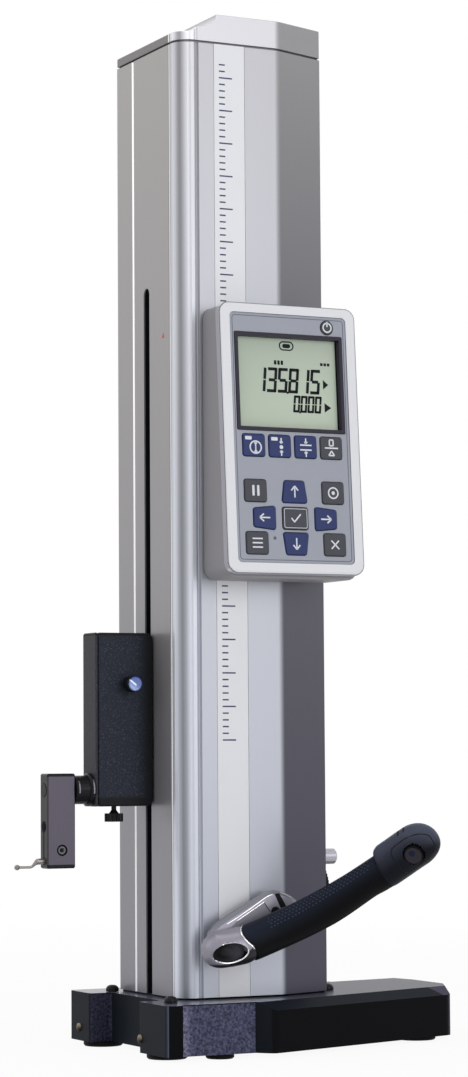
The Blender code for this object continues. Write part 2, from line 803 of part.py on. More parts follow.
def base_outline():
    recess_x = RECESS_DEPTH - BASE_LEFT
    pillar_x = PILLAR_WIDTH - BASE_LEFT
    return rounded([
        (-BASE_LEFT, BASE_BACK, BACK_LEFT_RADIUS),
        (-BASE_LEFT, RECESS_END, RECESS_RADIUS),
        (recess_x, RECESS_END, RECESS_RADIUS),
        (recess_x, RECESS_START, RECESS_RADIUS),
        (-BASE_LEFT, RECESS_START, RECESS_RADIUS),
        (-BASE_LEFT, -PILLAR_FRONT, PILLAR_RADIUS),
        (pillar_x, -PILLAR_FRONT, PILLAR_STEP_RADIUS),
        (pillar_x, -BASE_FRONT, PILLAR_STEP_RADIUS),
        (ARM_ROOT_X, -BASE_FRONT, PILLAR_STEP_RADIUS),
        (ARM_CORNER_X, -ARM_CORNER_FRONT, ARM_CORNER_RADIUS),
        (ARM_END_X, ARM_END_Y, ARM_TIP_RADIUS / 2),
        (ARM_REACH, ARM_TIP_Y, ARM_TIP_RADIUS),
        (ARM_REACH, ARM_FAR_Y, ARM_FAR_RADIUS),
        (ARM_BACK_X, ARM_BACK_Y, ARM_BACK_RADIUS),
        (WAIST_X, WAIST_Y, WAIST_RADIUS),
        (HEEL_X, BASE_BACK, HEEL_RADIUS),
    ])


# Wedge that takes the top edge off between two plan points, with the solid on its left
def edge_wedge(start, end, setback):
    start = Vector(start)
    run = (Vector(end) - start).normalized()
    inward = Vector((-run.y, run.x))
    build = bmesh.new()
    rings = []
    slope = CHAMFER_DROP / setback
    for point in (start - run * setback, Vector(end) + run * setback):
        outer = point - inward * OVERRUN
        inner = point + inward * (setback + OVERRUN)
        low = -CHAMFER_DROP - slope * OVERRUN
        high = slope * OVERRUN
        rings.append([build.verts.new((outer.x, outer.y, low)), build.verts.new((inner.x, inner.y, high)),
                      build.verts.new((outer.x, outer.y, high))])
    build.faces.new(rings[0])
    build.faces.new(rings[1])
    for index in range(3):
        after = (index + 1) % 3
        build.faces.new((rings[0][index], rings[0][after], rings[1][after], rings[1][index]))
    return item_from(build)


def bay_corners(border):
    left = BAY_LEFT - border
    right = BAY_RIGHT + border
    front = BAY_FRONT - border
    back = BAY_BACK + border
    return all_rounded(((left, front), (right, front), (right, back), (left, back)), BAY_RADIUS)


def make_base(frame):
    base = prism(base_outline(), -BASE_HEIGHT, 0)
    cut(base, edge_wedge((ARM_CORNER_X, -ARM_CORNER_FRONT), (ARM_END_X, ARM_END_Y), CHAMFER_SETBACK))
    back = Vector((ARM_BACK_X, ARM_BACK_Y))
    back_end = back.lerp(Vector((WAIST_X, WAIST_Y)), BACK_CHAMFER_SHARE)
    ends = [(ARM_END_X, ARM_END_Y), (ARM_REACH, ARM_TIP_Y), (ARM_REACH, ARM_FAR_Y), back, back_end]
    for start, end in zip(ends, ends[1:]):
        cut(base, edge_wedge(start, end, END_CHAMFER_SETBACK))
    join(base, prism(column_inset(SEAT_INSET), -OVERRUN, SEAT_HEIGHT))
    cut(base, prism(bay_corners(0), -BASE_HEIGHT - OVERRUN, -BAY_ROOF))
    cover_top = BAY_COVER_THICKNESS + 2 * GAP - BASE_HEIGHT
    cut(base, prism(bay_corners(BAY_COVER_LEDGE), -BASE_HEIGHT - OVERRUN, cover_top))
    for x, y in DOME_PLACES.values():
        hole = DOME_SHANK_RADIUS + GAP
        cut(base, rod(hole, -DOME_SHANK_LENGTH - RUN_GAP, OVERRUN, (x, y), "Z"))
    settle(base, "base_casting", "cast", frame)
    cover = prism(bay_corners(BAY_COVER_LEDGE - GAP), GAP - BASE_HEIGHT, cover_top - GAP)
    settle(cover, "bay_cover", "dark", frame)


def make_pad(frame, name, radius, place):
    top = -BASE_HEIGHT - GAP
    low = top - PAD_THICKNESS
    profile = (
        (0, low),
        (radius - PAD_CHAMFER, low),
        (radius, low + PAD_CHAMFER),
        (radius, top),
        (0, top),
    )
    pad = turned(profile, (*place, 0))
    settle(pad, name, "dark", frame, (*place, top))


# Rounded block that fits the pump bay between two fronts
def bay_block(right, front, back, floor, roof):
    left = BAY_LEFT + GAP
    points = ((left, front), (right, front), (right, back), (left, back))
    block = prism(all_rounded(points, BAY_RADIUS), floor, roof)
    soften(block, BAY_SOFT, 1, SEAM_ANGLE)
    return block


def make_pump_bay(frame):
    split = BAY_FRONT + (BAY_BACK - BAY_FRONT) * PUMP_SHARE
    floor = BAY_COVER_THICKNESS + 3 * GAP - BASE_HEIGHT
    roof = -BAY_ROOF - GAP
    pump_right = BAY_RIGHT - PUMP_HEAD_LENGTH
    pump = bay_block(pump_right, BAY_FRONT + GAP, split - GAP, floor, roof)
    middle = (BAY_FRONT + split) / 2
    head = (middle, (floor + roof) / 2)
    join(pump, rod(PUMP_HEAD_RADIUS, pump_right - BAY_RADIUS, BAY_RIGHT - GAP, head, "X"))
    settle(pump, "air_pump", "dark", frame)
    pack = bay_block(BAY_RIGHT - GAP, split + GAP, BAY_BACK - GAP, floor, roof)
    settle(pack, "battery_pack", "housing_grey", frame)


def make_dome_screw(frame, name, place):
    low = GAP
    high = DOME_HEIGHT
    waist = DOME_HEIGHT * DOME_WAIST_SHARE
    profile = [(0, -DOME_SHANK_LENGTH), (DOME_SHANK_RADIUS, -DOME_SHANK_LENGTH), (DOME_SHANK_RADIUS, low)]
    profile += [(DOME_RADIUS, low), (DOME_RADIUS, waist)]
    for step in range(1, ARC_STEPS):
        turn = math.pi / 2 * step / ARC_STEPS
        profile.append((DOME_RADIUS * math.cos(turn), waist + (high - waist) * math.sin(turn)))
    profile.append((0, high))
    screw = turned(profile, (*place, 0), sides=SMALL_SIDES)
    cut(screw, prism(circle(DOME_SOCKET, place, HEX_SIDES), high - DOME_SOCKET_DEPTH, high + OVERRUN))
    settle(screw, name, "dark", frame, (*place, 0))


def make_column(root):
    column = prism(column_outline(), 0, COLUMN_TOP)
    cut(column, prism(column_inset(COLUMN_WALL), -OVERRUN, COLUMN_TOP + OVERRUN))
    front = SLOT_Y - SLOT_WIDTH / 2
    back = SLOT_Y + SLOT_WIDTH / 2
    end = SLOT_WIDTH / 2
    slot = [(front, -OVERRUN, 0), (back, -OVERRUN, 0), (back, SLOT_TOP, end), (front, SLOT_TOP, end)]
    cut(column, prism(rounded(slot), -COLUMN_WALL, COLUMN_WALL + OVERRUN, "X"))
    wall = (COLUMN_WIDTH - COLUMN_WALL - OVERRUN, COLUMN_WIDTH + OVERRUN)
    cut(column, rod(SHAFT_RADIUS + GAP, *wall, (DRIVE_Y, DRIVE_Z), "X"))
    cut(column, rod(SIDE_KNOB_STEM_RADIUS + GAP, *wall, (SIDE_KNOB_Y, SIDE_KNOB_Z), "X"))
    settle(column, "column_shell", "column", root)
    strip = box((STRIP_LEFT + GAP, STRIP_RIGHT - GAP), (0, STRIP_THICKNESS), (0, COLUMN_TOP))
    settle(strip, "front_strip", "strip", root)


# Side view of what the cap lacks over its low part: a step and then a hollow rise
def cap_cutaway(low, high):
    step_z = low + CAP_STEP_HEIGHT
    run = CAP_SWOOP_X - CAP_STEP_X - CAP_STEP_WIDTH
    outline = [(-OVERRUN, high + OVERRUN), (-OVERRUN, low), (CAP_STEP_X, low)]
    outline.append((CAP_STEP_X + CAP_STEP_WIDTH, step_z))
    for step in range(1, CORNER_STEPS):
        turn = math.pi / 2 * step / CORNER_STEPS
        x = CAP_STEP_X + CAP_STEP_WIDTH + run * math.sin(turn)
        outline.append((x, step_z + (high - step_z) * (1 - math.cos(turn))))
    outline += [(CAP_SWOOP_X, high), (CAP_SWOOP_X, high + OVERRUN)]
    return outline


def make_cap(root):
    seam = COLUMN_TOP + GAP
    body = seam + CAP_SEAM
    high = COLUMN_TOP + CAP_HIGH
    cap = prism(column_inset(0), body, high)
    away = cap_cutaway(COLUMN_TOP + CAP_LOW, high)
    cut(cap, prism(away, -OVERRUN, COLUMN_DEPTH + OVERRUN, "Y"))
    soften(cap, CAP_SOFT, 1)
    join(cap, prism(column_inset(SEAT_INSET), seam, body + CAP_SOFT * 2))
    lip_inset = COLUMN_WALL + GAP
    join(cap, prism(column_inset(lip_inset), seam - CAP_LIP, body))
    cut(cap, prism(column_inset(lip_inset + COLUMN_WALL / 2), seam - CAP_LIP - OVERRUN, body))
    settle(cap, "top_cap", "column", root)


def inner_back():
    return COLUMN_DEPTH - COLUMN_WALL - GAP


def make_rail_and_scale(root):
    back = inner_back()
    front = back - RAIL_DEPTH
    half = RAIL_WIDTH / 2
    neck = half - RAIL_NOTCH
    quarter = RAIL_DEPTH / 4
    right_side = [
        (half, front),
        (half, front + quarter),
        (neck, front + 2 * quarter),
        (half, front + 3 * quarter),
        (half, back),
    ]
    left_side = [(-x, y) for x, y in reversed(right_side)]
    outline = [(RAIL_X + x, y) for x, y in right_side + left_side]
    rail = prism(outline, RAIL_FOOT, RAIL_TOP)
    settle(rail, "guide_rail", "steel", root)
    xs = (SCALE_LEFT, SCALE_LEFT + SCALE_WIDTH)
    scale = box(xs, (back - SCALE_THICKNESS, back), (SCALE_FOOT, SCALE_TOP))
    soften(scale, SCALE_SOFT, 1)
    settle(scale, "scale_bar", "silver", root)


def belt_loop(radius):
    outline = []
    for middle, start in ((IDLER_Z, 0), (DRIVE_Z, math.pi)):
        for step in range(SMALL_SIDES + 1):
            turn = start + math.pi * step / SMALL_SIDES
            outline.append((DRIVE_Y + radius * math.cos(turn), middle + radius * math.sin(turn)))
    return outline


def make_belt(root):
    inner = PULLEY_RADIUS + GAP
    belt = prism(belt_loop(inner + BELT_THICKNESS), BELT_LEFT, BELT_RIGHT, "X")
    cut(belt, prism(belt_loop(inner), BELT_LEFT - OVERRUN, BELT_RIGHT + OVERRUN, "X"))
    settle(belt, "drive_belt", "belt", root)


# Pulley profile round X, from its left flange to its right one
def pulley_profile(core):
    left = BELT_LEFT - RUN_GAP - PULLEY_FLANGE_WIDTH
    right = BELT_RIGHT + RUN_GAP + PULLEY_FLANGE_WIDTH
    rim = PULLEY_RADIUS + PULLEY_FLANGE
    return [
        (core, left),
        (rim, left),
        (rim, left + PULLEY_FLANGE_WIDTH),
        (PULLEY_RADIUS, left + PULLEY_FLANGE_WIDTH),
        (PULLEY_RADIUS, right - PULLEY_FLANGE_WIDTH),
        (rim, right - PULLEY_FLANGE_WIDTH),
        (rim, right),
        (core, right),
    ]


def make_idler(root):
    centre = (0, DRIVE_Y, IDLER_Z)
    profile = pulley_profile(AXLE_RADIUS + GAP)
    pulley = turned(profile + profile[:1], centre, "X")
    origin = (BELT_LEFT + BELT_WIDTH / 2, DRIVE_Y, IDLER_Z)
    settle(pulley, "idler_pulley", "silver", root, origin)
    right = COLUMN_WIDTH - COLUMN_WALL - GAP
    ys = (DRIVE_Y - BRACKET_WIDTH / 2, DRIVE_Y + BRACKET_WIDTH / 2)
    zs = (IDLER_Z - BRACKET_HEIGHT / 2, IDLER_Z + BRACKET_HEIGHT / 2)
    left = profile[-1][1] + BRACKET_SPACE
    bracket = box((left, right), ys, zs)
    soften(bracket, HEAD_SOFT, 1)
    start = profile[0][1] - AXLE_OVERHANG
    join(bracket, rod(AXLE_RADIUS, start, left + OVERRUN, (DRIVE_Y, IDLER_Z), "X"))
    settle(bracket, "idler_bracket", "housing_grey", root)


def make_counterweight(root):
    left = WEIGHT_LEFT
    right = WEIGHT_LEFT + WEIGHT_WIDTH
    floor = DRIVE_Y - PULLEY_RADIUS - BELT_THICKNESS - 2 * GAP
    outline = (
        (left, WEIGHT_FRONT),
        (right, WEIGHT_FRONT),
        (right, WEIGHT_BACK),
        (BELT_RIGHT + GAP, WEIGHT_BACK),
        (BELT_RIGHT + GAP, floor),
        (BELT_LEFT - GAP, floor),
        (BELT_LEFT - GAP, WEIGHT_BACK),
        (left, WEIGHT_BACK),
    )
    low = WEIGHT_Z - WEIGHT_LENGTH / 2
    weight = prism(outline, low, low + WEIGHT_LENGTH)
    settle(weight, "counterweight", "steel", root, ((left + right) / 2, floor, WEIGHT_Z))


def make_carriage(root):
    rail_front = inner_back() - RAIL_DEPTH
    rail_half = RAIL_WIDTH / 2 + RUN_GAP
    shoulder = rail_front - CARRIAGE_SHOULDER_SPACE
    tip = inner_back() - CARRIAGE_BACK_GAP
    clamp_front = DRIVE_Y + PULLEY_RADIUS + BELT_THICKNESS + 2 * GAP
    tab_front = DRIVE_Y + PULLEY_RADIUS + PULLEY_FLANGE + RUN_GAP
    neck_front = SLIDER_Y - NECK_THICKNESS / 2
    neck_back = SLIDER_Y + NECK_THICKNESS / 2
    outline = (
        (CARRIAGE_LEFT, CARRIAGE_FRONT),
        (CARRIAGE_RIGHT, CARRIAGE_FRONT),
        (CARRIAGE_RIGHT, tab_front),
        (BELT_LEFT, tab_front),
        (BELT_LEFT, clamp_front),
        (BELT_RIGHT, clamp_front),
        (BELT_RIGHT, tab_front + TAB_DEPTH),
        (CARRIAGE_RIGHT, tab_front + TAB_DEPTH),
        (CARRIAGE_RIGHT, shoulder),
        (RAIL_X + rail_half + CARRIAGE_ARM, shoulder),
        (RAIL_X + rail_half + CARRIAGE_ARM, tip),
        (RAIL_X + rail_half, tip),
        (RAIL_X + rail_half, rail_front - RUN_GAP),
        (RAIL_X - rail_half, rail_front - RUN_GAP),
        (RAIL_X - rail_half, tip),
        (RAIL_X - rail_half - CARRIAGE_ARM, tip),
        (RAIL_X - rail_half - CARRIAGE_ARM, shoulder),
        (CARRIAGE_LEFT, shoulder),
        (CARRIAGE_LEFT, neck_back),
        (GAP - SLIDER_CLEAR, neck_back),
        (GAP - SLIDER_CLEAR, neck_front),
        (CARRIAGE_LEFT, neck_front),
    )
    carriage = prism(outline, CARRIAGE_LOW, CARRIAGE_HIGH)
    settle(carriage, "carriage", "housing_grey", root, (RAIL_X, SLIDER_Y, CARRIAGE_LOW))
    left = CARRIAGE_RIGHT + GAP
    back = inner_back() - SCALE_THICKNESS - RUN_GAP
    head = box((left, left + HEAD_WIDTH), (HEAD_FRONT, back), (HEAD_LOW, HEAD_HIGH))
    soften(head, HEAD_SOFT, 1)
    settle(head, "reading_head", "dark", root, (left, HEAD_FRONT, HEAD_LOW))


def slider_span():
    right = -SLIDER_CLEAR
    return right - SLIDER_WIDTH, right


def make_slider(root):
    left, right = slider_span()
    ys = (SLIDER_Y - SLIDER_DEPTH / 2, SLIDER_Y + SLIDER_DEPTH / 2)
    points = ((left, SLIDER_LOW), (right, SLIDER_LOW), (right, SLIDER_HIGH), (left, SLIDER_HIGH))
    radii = (SLIDER_SEAM_RADIUS, SLIDER_RADIUS, SLIDER_RADIUS, SLIDER_SEAM_RADIUS)
    outline = rounded([(x, z, radius) for (x, z), radius in zip(points, radii)])
    housing = prism(outline, *ys, "Y")
    soften(housing, SLIDER_SOFT, 2, SEAM_ANGLE)
    bore = JOURNAL_RADIUS + GAP
    cut(housing, rod(bore, left - OVERRUN, left + JOURNAL_DEPTH + RUN_GAP, (SLIDER_Y, PROBE_Z), "X"))
    hole = LOCK_STEM_RADIUS + GAP
    cut(housing, rod(hole, ys[0] - OVERRUN, ys[0] + LOCK_STEM_DEPTH + RUN_GAP, (-LOCK_X, LOCK_Z), "Y"))
    hole = THUMB_STEM_RADIUS + GAP
    cut(housing, rod(hole, SLIDER_LOW - OVERRUN, PROBE_Z, (-THUMB_X, SLIDER_Y), "Z"))
    settle(housing, "slider_housing", "cast", root, (right, SLIDER_Y, SLIDER_LOW))
    face = left - GAP
    cover = prism(
        all_rounded(((ys[0], SLIDER_LOW), (ys[1], SLIDER_LOW), (ys[1], SLIDER_HIGH), (ys[0], SLIDER_HIGH)),
                    SLIDER_SEAM_RADIUS),
        face - COVER_THICKNESS, face, "X")
    soften(cover, COVER_SOFT, 1, SEAM_ANGLE)
    cut(cover, rod(bore, face - COVER_THICKNESS - OVERRUN, face + OVERRUN, (SLIDER_Y, PROBE_Z), "X"))
    settle(cover, "slider_cover", "cast", root, (face, SLIDER_Y, SLIDER_LOW))


def make_lock_knob(root):
    front = SLIDER_Y - SLIDER_DEPTH / 2 - GAP
    shoulder = front - LOCK_NECK_LENGTH
    end = front - LOCK_LENGTH
    rim = LOCK_CAP_RADIUS + GAP
    profile = (
        (0, front + LOCK_STEM_DEPTH),
        (LOCK_STEM_RADIUS, front + LOCK_STEM_DEPTH),
        (LOCK_STEM_RADIUS, front),
        (LOCK_NECK_RADIUS, front),
        (LOCK_NECK_RADIUS, shoulder),
        (LOCK_RADIUS, shoulder - LOCK_SOFT),
        (LOCK_RADIUS, end + LOCK_SOFT),
        (LOCK_RADIUS - LOCK_SOFT / 2, end),
        (rim, end),
        (rim, end + LOCK_CAP_SEAT),
        (0, end + LOCK_CAP_SEAT),
    )
    centre = (-LOCK_X, 0, LOCK_Z)
    origin = (-LOCK_X, front, LOCK_Z)
    knob = turned(profile, centre, "Y", SMALL_SIDES)
    settle(knob, "lock_knob", "dark", root, origin)
    seat = end + LOCK_CAP_SEAT - GAP
    top = seat - LOCK_CAP_THICKNESS
    profile = (
        (0, seat),
        (LOCK_CAP_RADIUS, seat),
        (LOCK_CAP_RADIUS, top + LOCK_SOFT / 2),
        (LOCK_CAP_RADIUS - LOCK_SOFT, top),
        (0, top),
    )
    cap = turned(profile, centre, "Y", SMALL_SIDES)
    settle(cap, "lock_knob_cap", "blue_cap", root, origin)


def make_thumb_screw(root):
    centre = (-THUMB_X, SLIDER_Y)
    head_top = SLIDER_LOW - THUMB_STEM_SHOW
    head_low = head_top - THUMB_CONE_HEIGHT - THUMB_HEIGHT
    knob = prism(toothed(THUMB_RADIUS, THUMB_TOOTH, THUMB_TEETH, centre), head_low, head_low + THUMB_HEIGHT)
    stem_top = PROBE_Z - JOURNAL_RADIUS - GAP
    profile = (
        (0, head_low + THUMB_HEIGHT / 2),
        (THUMB_CONE_RADIUS, head_low + THUMB_HEIGHT / 2),
        (THUMB_CONE_RADIUS, head_low + THUMB_HEIGHT),
        (THUMB_STEM_RADIUS, head_top),
        (THUMB_STEM_RADIUS, stem_top),
        (0, stem_top),
    )
    join(knob, turned(profile, (*centre, 0), sides=SMALL_SIDES))
    settle(knob, "thumb_screw", "dark", root, (*centre, SLIDER_LOW))


def block_span():
    right = slider_span()[0] - GAP - COVER_THICKNESS - GAP - COLLAR_LENGTH - GAP - HOLDER_LENGTH - GAP
    return right - BLOCK_WIDTH, right


def make_probe(root):
    axis_place = (SLIDER_Y, PROBE_Z)
    cover_face = slider_span()[0] - GAP - COVER_THICKNESS
    collar_right = cover_face - GAP
    collar_left = collar_right - COLLAR_LENGTH
    origin = (cover_face, *axis_place)
    bore = JOURNAL_RADIUS + GAP
    profile = (
        (bore, collar_left),
        (COLLAR_RADIUS - COLLAR_CHAMFER, collar_left),
        (COLLAR_RADIUS, collar_left + COLLAR_CHAMFER),
        (COLLAR_RADIUS, collar_right),
        (bore, collar_right),
        (bore, collar_left),
    )
    collar = turned(profile, (0, *axis_place), "X")
    settle(collar, "probe_collar", "dark", root, origin)
    holder_right = collar_left - GAP
    holder_left = holder_right - HOLDER_LENGTH
    journal_end = slider_span()[0] + JOURNAL_DEPTH
    left, right = block_span()
    spigot_end = left - GAP
    profile = (
        (0, spigot_end),
        (SPIGOT_RADIUS, spigot_end),
        (SPIGOT_RADIUS, holder_left),
        (HOLDER_RADIUS - COLLAR_CHAMFER / 2, holder_left),
        (HOLDER_RADIUS, holder_left + COLLAR_CHAMFER / 2),
        (HOLDER_RADIUS, holder_right),
        (JOURNAL_RADIUS, holder_right),
        (JOURNAL_RADIUS, journal_end),
        (0, journal_end),
    )
    shaft = turned(profile, (0, *axis_place), "X")
    settle(shaft, "probe_shaft", "dark", root, origin)

    ys = (SLIDER_Y - BLOCK_DEPTH / 2, SLIDER_Y + BLOCK_DEPTH / 2)
    points = ((left, BLOCK_BOTTOM), (right, BLOCK_BOTTOM), (right, BLOCK_TOP), (left, BLOCK_TOP))
    block = prism(points, *ys, "Y")
    soften(block, BLOCK_CHAMFER / 2, 1)
    span = (left - OVERRUN, right + OVERRUN)
    cut(block, rod(SPIGOT_RADIUS + GAP, *span, axis_place, "X"))
    cut(block, rod(KEYHOLE_RADIUS, *span, (SLIDER_Y, KEYHOLE_Z), "X"))
    shank_end = left + SHANK_DEPTH + RUN_GAP
    cut(block, rod(SHANK_RADIUS + GAP, span[0], shank_end, (SLIDER_Y, STYLUS_Z), "X", STYLUS_SIDES))
    slit = (SLIDER_Y - SLIT_WIDTH / 2, SLIDER_Y + SLIT_WIDTH / 2)
    cut(block, box(span, slit, (STYLUS_Z, KEYHOLE_Z)))
    clamp = (right - CLAMP_X, CLAMP_Z)
    cut(block, rod(CLAMP_RADIUS + GAP, ys[0] - OVERRUN, ys[0] + CLAMP_HEAD, clamp, "Y"))
    cut(block, rod(CLAMP_STEM_RADIUS + GAP, ys[0], ys[0] + CLAMP_HEAD + CLAMP_STEM_LENGTH, clamp, "Y"))
    settle(block, "probe_block", "block_metal", root, origin)

    face = ys[0] + GAP
    seat = ys[0] + CLAMP_HEAD - GAP
    end = seat + CLAMP_STEM_LENGTH
    profile = (
        (0, face),
        (CLAMP_RADIUS - GAP, face),
        (CLAMP_RADIUS, face + GAP),
        (CLAMP_RADIUS, seat),
        (CLAMP_STEM_RADIUS, seat),
        (CLAMP_STEM_RADIUS, end),
        (0, end),
    )
    screw = turned(profile, (clamp[0], 0, clamp[1]), "Y", SMALL_SIDES)
    cut(screw, prism(circle(CLAMP_SOCKET, clamp, HEX_SIDES), face - OVERRUN, face + CLAMP_HEAD / 2, "Y"))
    settle(screw, "stylus_clamp_screw", "steel", root, (clamp[0], face, clamp[1]))
    make_stylus(root, left)


def make_stylus(root, face):
    start = face + SHANK_DEPTH
    bend = face - STYLUS_SHANK_RUN
    rod_start = bend - STYLUS_BEND_RUN
    ball = rod_start - STYLUS_ROD_RUN
    rod_z = STYLUS_Z - STYLUS_DROP
    stations = [(start, STYLUS_Z, SHANK_RADIUS)]
    for step in range(STYLUS_BEND_STEPS + 1):
        share = step / STYLUS_BEND_STEPS
        ease = (1 - math.cos(math.pi * share)) / 2
        radius = SHANK_RADIUS + (STYLUS_ROD_RADIUS - SHANK_RADIUS) * ease
        stations.append((bend - STYLUS_BEND_RUN * share, STYLUS_Z - STYLUS_DROP * ease, radius))
    stations.append((ball, rod_z, STYLUS_ROD_RADIUS))
    rings = []
    for x, z, radius in stations:
        ring = circle(radius, (SLIDER_Y, z), STYLUS_SIDES)
        rings.append([Vector((x, across, height)) for across, height in ring])
    stylus = skin(rings)
    build = bmesh.new()
    bmesh.ops.create_uvsphere(build, u_segments=STYLUS_SIDES, v_segments=STYLUS_SIDES // 2,
                              radius=STYLUS_BALL_RADIUS)
    bmesh.ops.translate(build, verts=build.verts, vec=(ball, SLIDER_Y, rod_z))
    join(stylus, item_from(build))
    settle(stylus, "stylus", "steel", root, (face, SLIDER_Y, STYLUS_Z))


# The display stands on its own tilted frame: -Y is out of its face, Z runs up the face
def make_display(root):
    frame = frame_at("display_frame", (DISPLAY_X, -DISPLAY_FRONT, DISPLAY_Z), root)
    frame.rotation_euler.x = -DISPLAY_TILT
    make_shell(frame)
    make_panel(frame)
    make_lcd(frame)
    make_keys(frame)
    make_display_housing(root, frame)


# Outline of the keypad panel with a border added all round
def panel_outline(border):
    outline = rectangle(PANEL_WIDTH + 2 * border, PANEL_HEIGHT + 2 * border, (0, PANEL_Z))
    return all_rounded(outline, PANEL_RADIUS)


def make_shell(frame):
    outline = rectangle(SHELL_WIDTH, SHELL_HEIGHT, (0, SHELL_Z))
    shell = prism(all_rounded(outline, SHELL_RADIUS), 0, SHELL_DEPTH, "Y")
    soften(shell, SHELL_SOFT, 3, SEAM_ANGLE)
    seat = PANEL_RECESS + PANEL_THICKNESS + GAP
    cut(shell, prism(panel_outline(GAP), -OVERRUN, seat, "Y"))
    cut(shell, prism(panel_outline(-SHELL_LIP), 0, SHELL_DEPTH + OVERRUN, "Y"))
    settle(shell, "display_shell", "silver", frame)


def lcd_rectangle(border):
    return rectangle(LCD_WIDTH + 2 * border, LCD_HEIGHT + 2 * border, (0, LCD_Z))


# Each key: name, finish and corners round its middle
def key_table():
    outer = {-1: "left", 1: "right"}
    outer_x = KEY_PITCH * (KEY_COLUMNS - 1) / 2
    keys = []
    for number in range(1, KEY_COLUMNS + 1):
        finish = "grey_key" if number == KEY_COLUMNS else "blue_key"
        place = (KEY_PITCH * (number - 1) - outer_x, KEY_ROWS[0])
        keys.append(("key_mode_" + str(number), finish, place, rectangle(KEY_WIDTH, KEY_HEIGHT)))
    for side, word in outer.items():
        for row, level in ((1, "upper"), (3, "lower")):
            place = (side * outer_x, KEY_ROWS[row])
            keys.append(("key_" + level + "_" + word, "grey_key", place, rectangle(KEY_WIDTH, KEY_HEIGHT)))
    narrow = ARROW_WIDTH / 2 * ARROW_NARROW_SHARE
    up = ((-ARROW_WIDTH / 2, -KEY_HEIGHT / 2), (ARROW_WIDTH / 2, -KEY_HEIGHT / 2),
          (narrow, KEY_HEIGHT / 2), (-narrow, KEY_HEIGHT / 2))
    down = [(x, -z) for x, z in reversed(up)]
    short = ARROW_HEIGHT / 2 * ARROW_NARROW_SHARE
    right = ((-KEY_WIDTH / 2, -ARROW_HEIGHT / 2), (KEY_WIDTH / 2, -short),
             (KEY_WIDTH / 2, short), (-KEY_WIDTH / 2, ARROW_HEIGHT / 2))
    left = [(-x, z) for x, z in reversed(right)]
    keys.append(("key_arrow_up", "blue_key", (0, KEY_ROWS[1]), up))
    keys.append(("key_arrow_down", "blue_key", (0, KEY_ROWS[3]), down))
    keys.append(("key_arrow_left", "blue_key", (-ARROW_X, KEY_ROWS[2]), left))
    keys.append(("key_arrow_right", "blue_key", (ARROW_X, KEY_ROWS[2]), right))
    keys.append(("key_enter", "grey_key", (0, KEY_ROWS[2]), rectangle(ARROW_WIDTH, KEY_HEIGHT)))
    return keys


def grown(points, play):
    return inset([(point[0], point[1]) for point in points], -play)


def make_panel(frame):
    front = PANEL_RECESS
    back = front + PANEL_THICKNESS
    panel = prism(panel_outline(0), front, back, "Y")
    through = (front - OVERRUN, back + OVERRUN)
    cut(panel, prism(all_rounded(lcd_rectangle(LCD_BORDER + GAP), LCD_RADIUS), *through, "Y"))
    cut(panel, rod(POWER_RADIUS + KEY_PLAY, *through, (POWER_X, POWER_Z), "Y"))
    for _, _, (x, z), points in key_table():
        outline = [(x + across, z + height) for across, height in grown(points, KEY_PLAY)]
        cut(panel, prism(all_rounded(outline, KEY_RADIUS + KEY_PLAY, 3), *through, "Y"))
    settle(panel, "keypad_panel", "panel", frame)


def make_lcd(frame):
    back = LCD_SINK + LCD_GLASS_THICKNESS
    bezel = prism(all_rounded(lcd_rectangle(LCD_BORDER), LCD_RADIUS), 0, back, "Y")
    cut(bezel, prism(lcd_rectangle(0), -OVERRUN, LCD_SINK, "Y"))
    pocket = LCD_BORDER - LCD_GLASS_OVERLAP + GAP
    cut(bezel, prism(lcd_rectangle(pocket), LCD_SINK - GAP, back + OVERRUN, "Y"))
    settle(bezel, "lcd_bezel", "dark", frame)
    glass = prism(lcd_rectangle(pocket - GAP), LCD_SINK, back, "Y")
    settle(glass, "lcd_module", "lcd", frame)
    board = prism(panel_outline(BOARD_BORDER), BOARD_DEPTH, BOARD_DEPTH + BOARD_THICKNESS, "Y")
    settle(board, "display_board", "board_green", frame)


def make_keys(frame):
    front = PANEL_RECESS - KEY_PROUD
    back = PANEL_RECESS + PANEL_THICKNESS + KEY_DEEP
    for name, finish, (x, z), points in key_table():
        key = prism(all_rounded(points, KEY_RADIUS, 3), front, back, "Y")
        soften(key, KEY_SOFT, 1, SEAM_ANGLE)
        key.data.transform(Matrix.Translation((x, 0, z)))
        settle(key, name, finish, frame, (x, front, z))
    power = prism(circle(POWER_RADIUS, (POWER_X, POWER_Z)), front, back, "Y")
    soften(power, KEY_SOFT, 1, SEAM_ANGLE)
    settle(power, "key_power", "dark", frame, (POWER_X, front, POWER_Z))


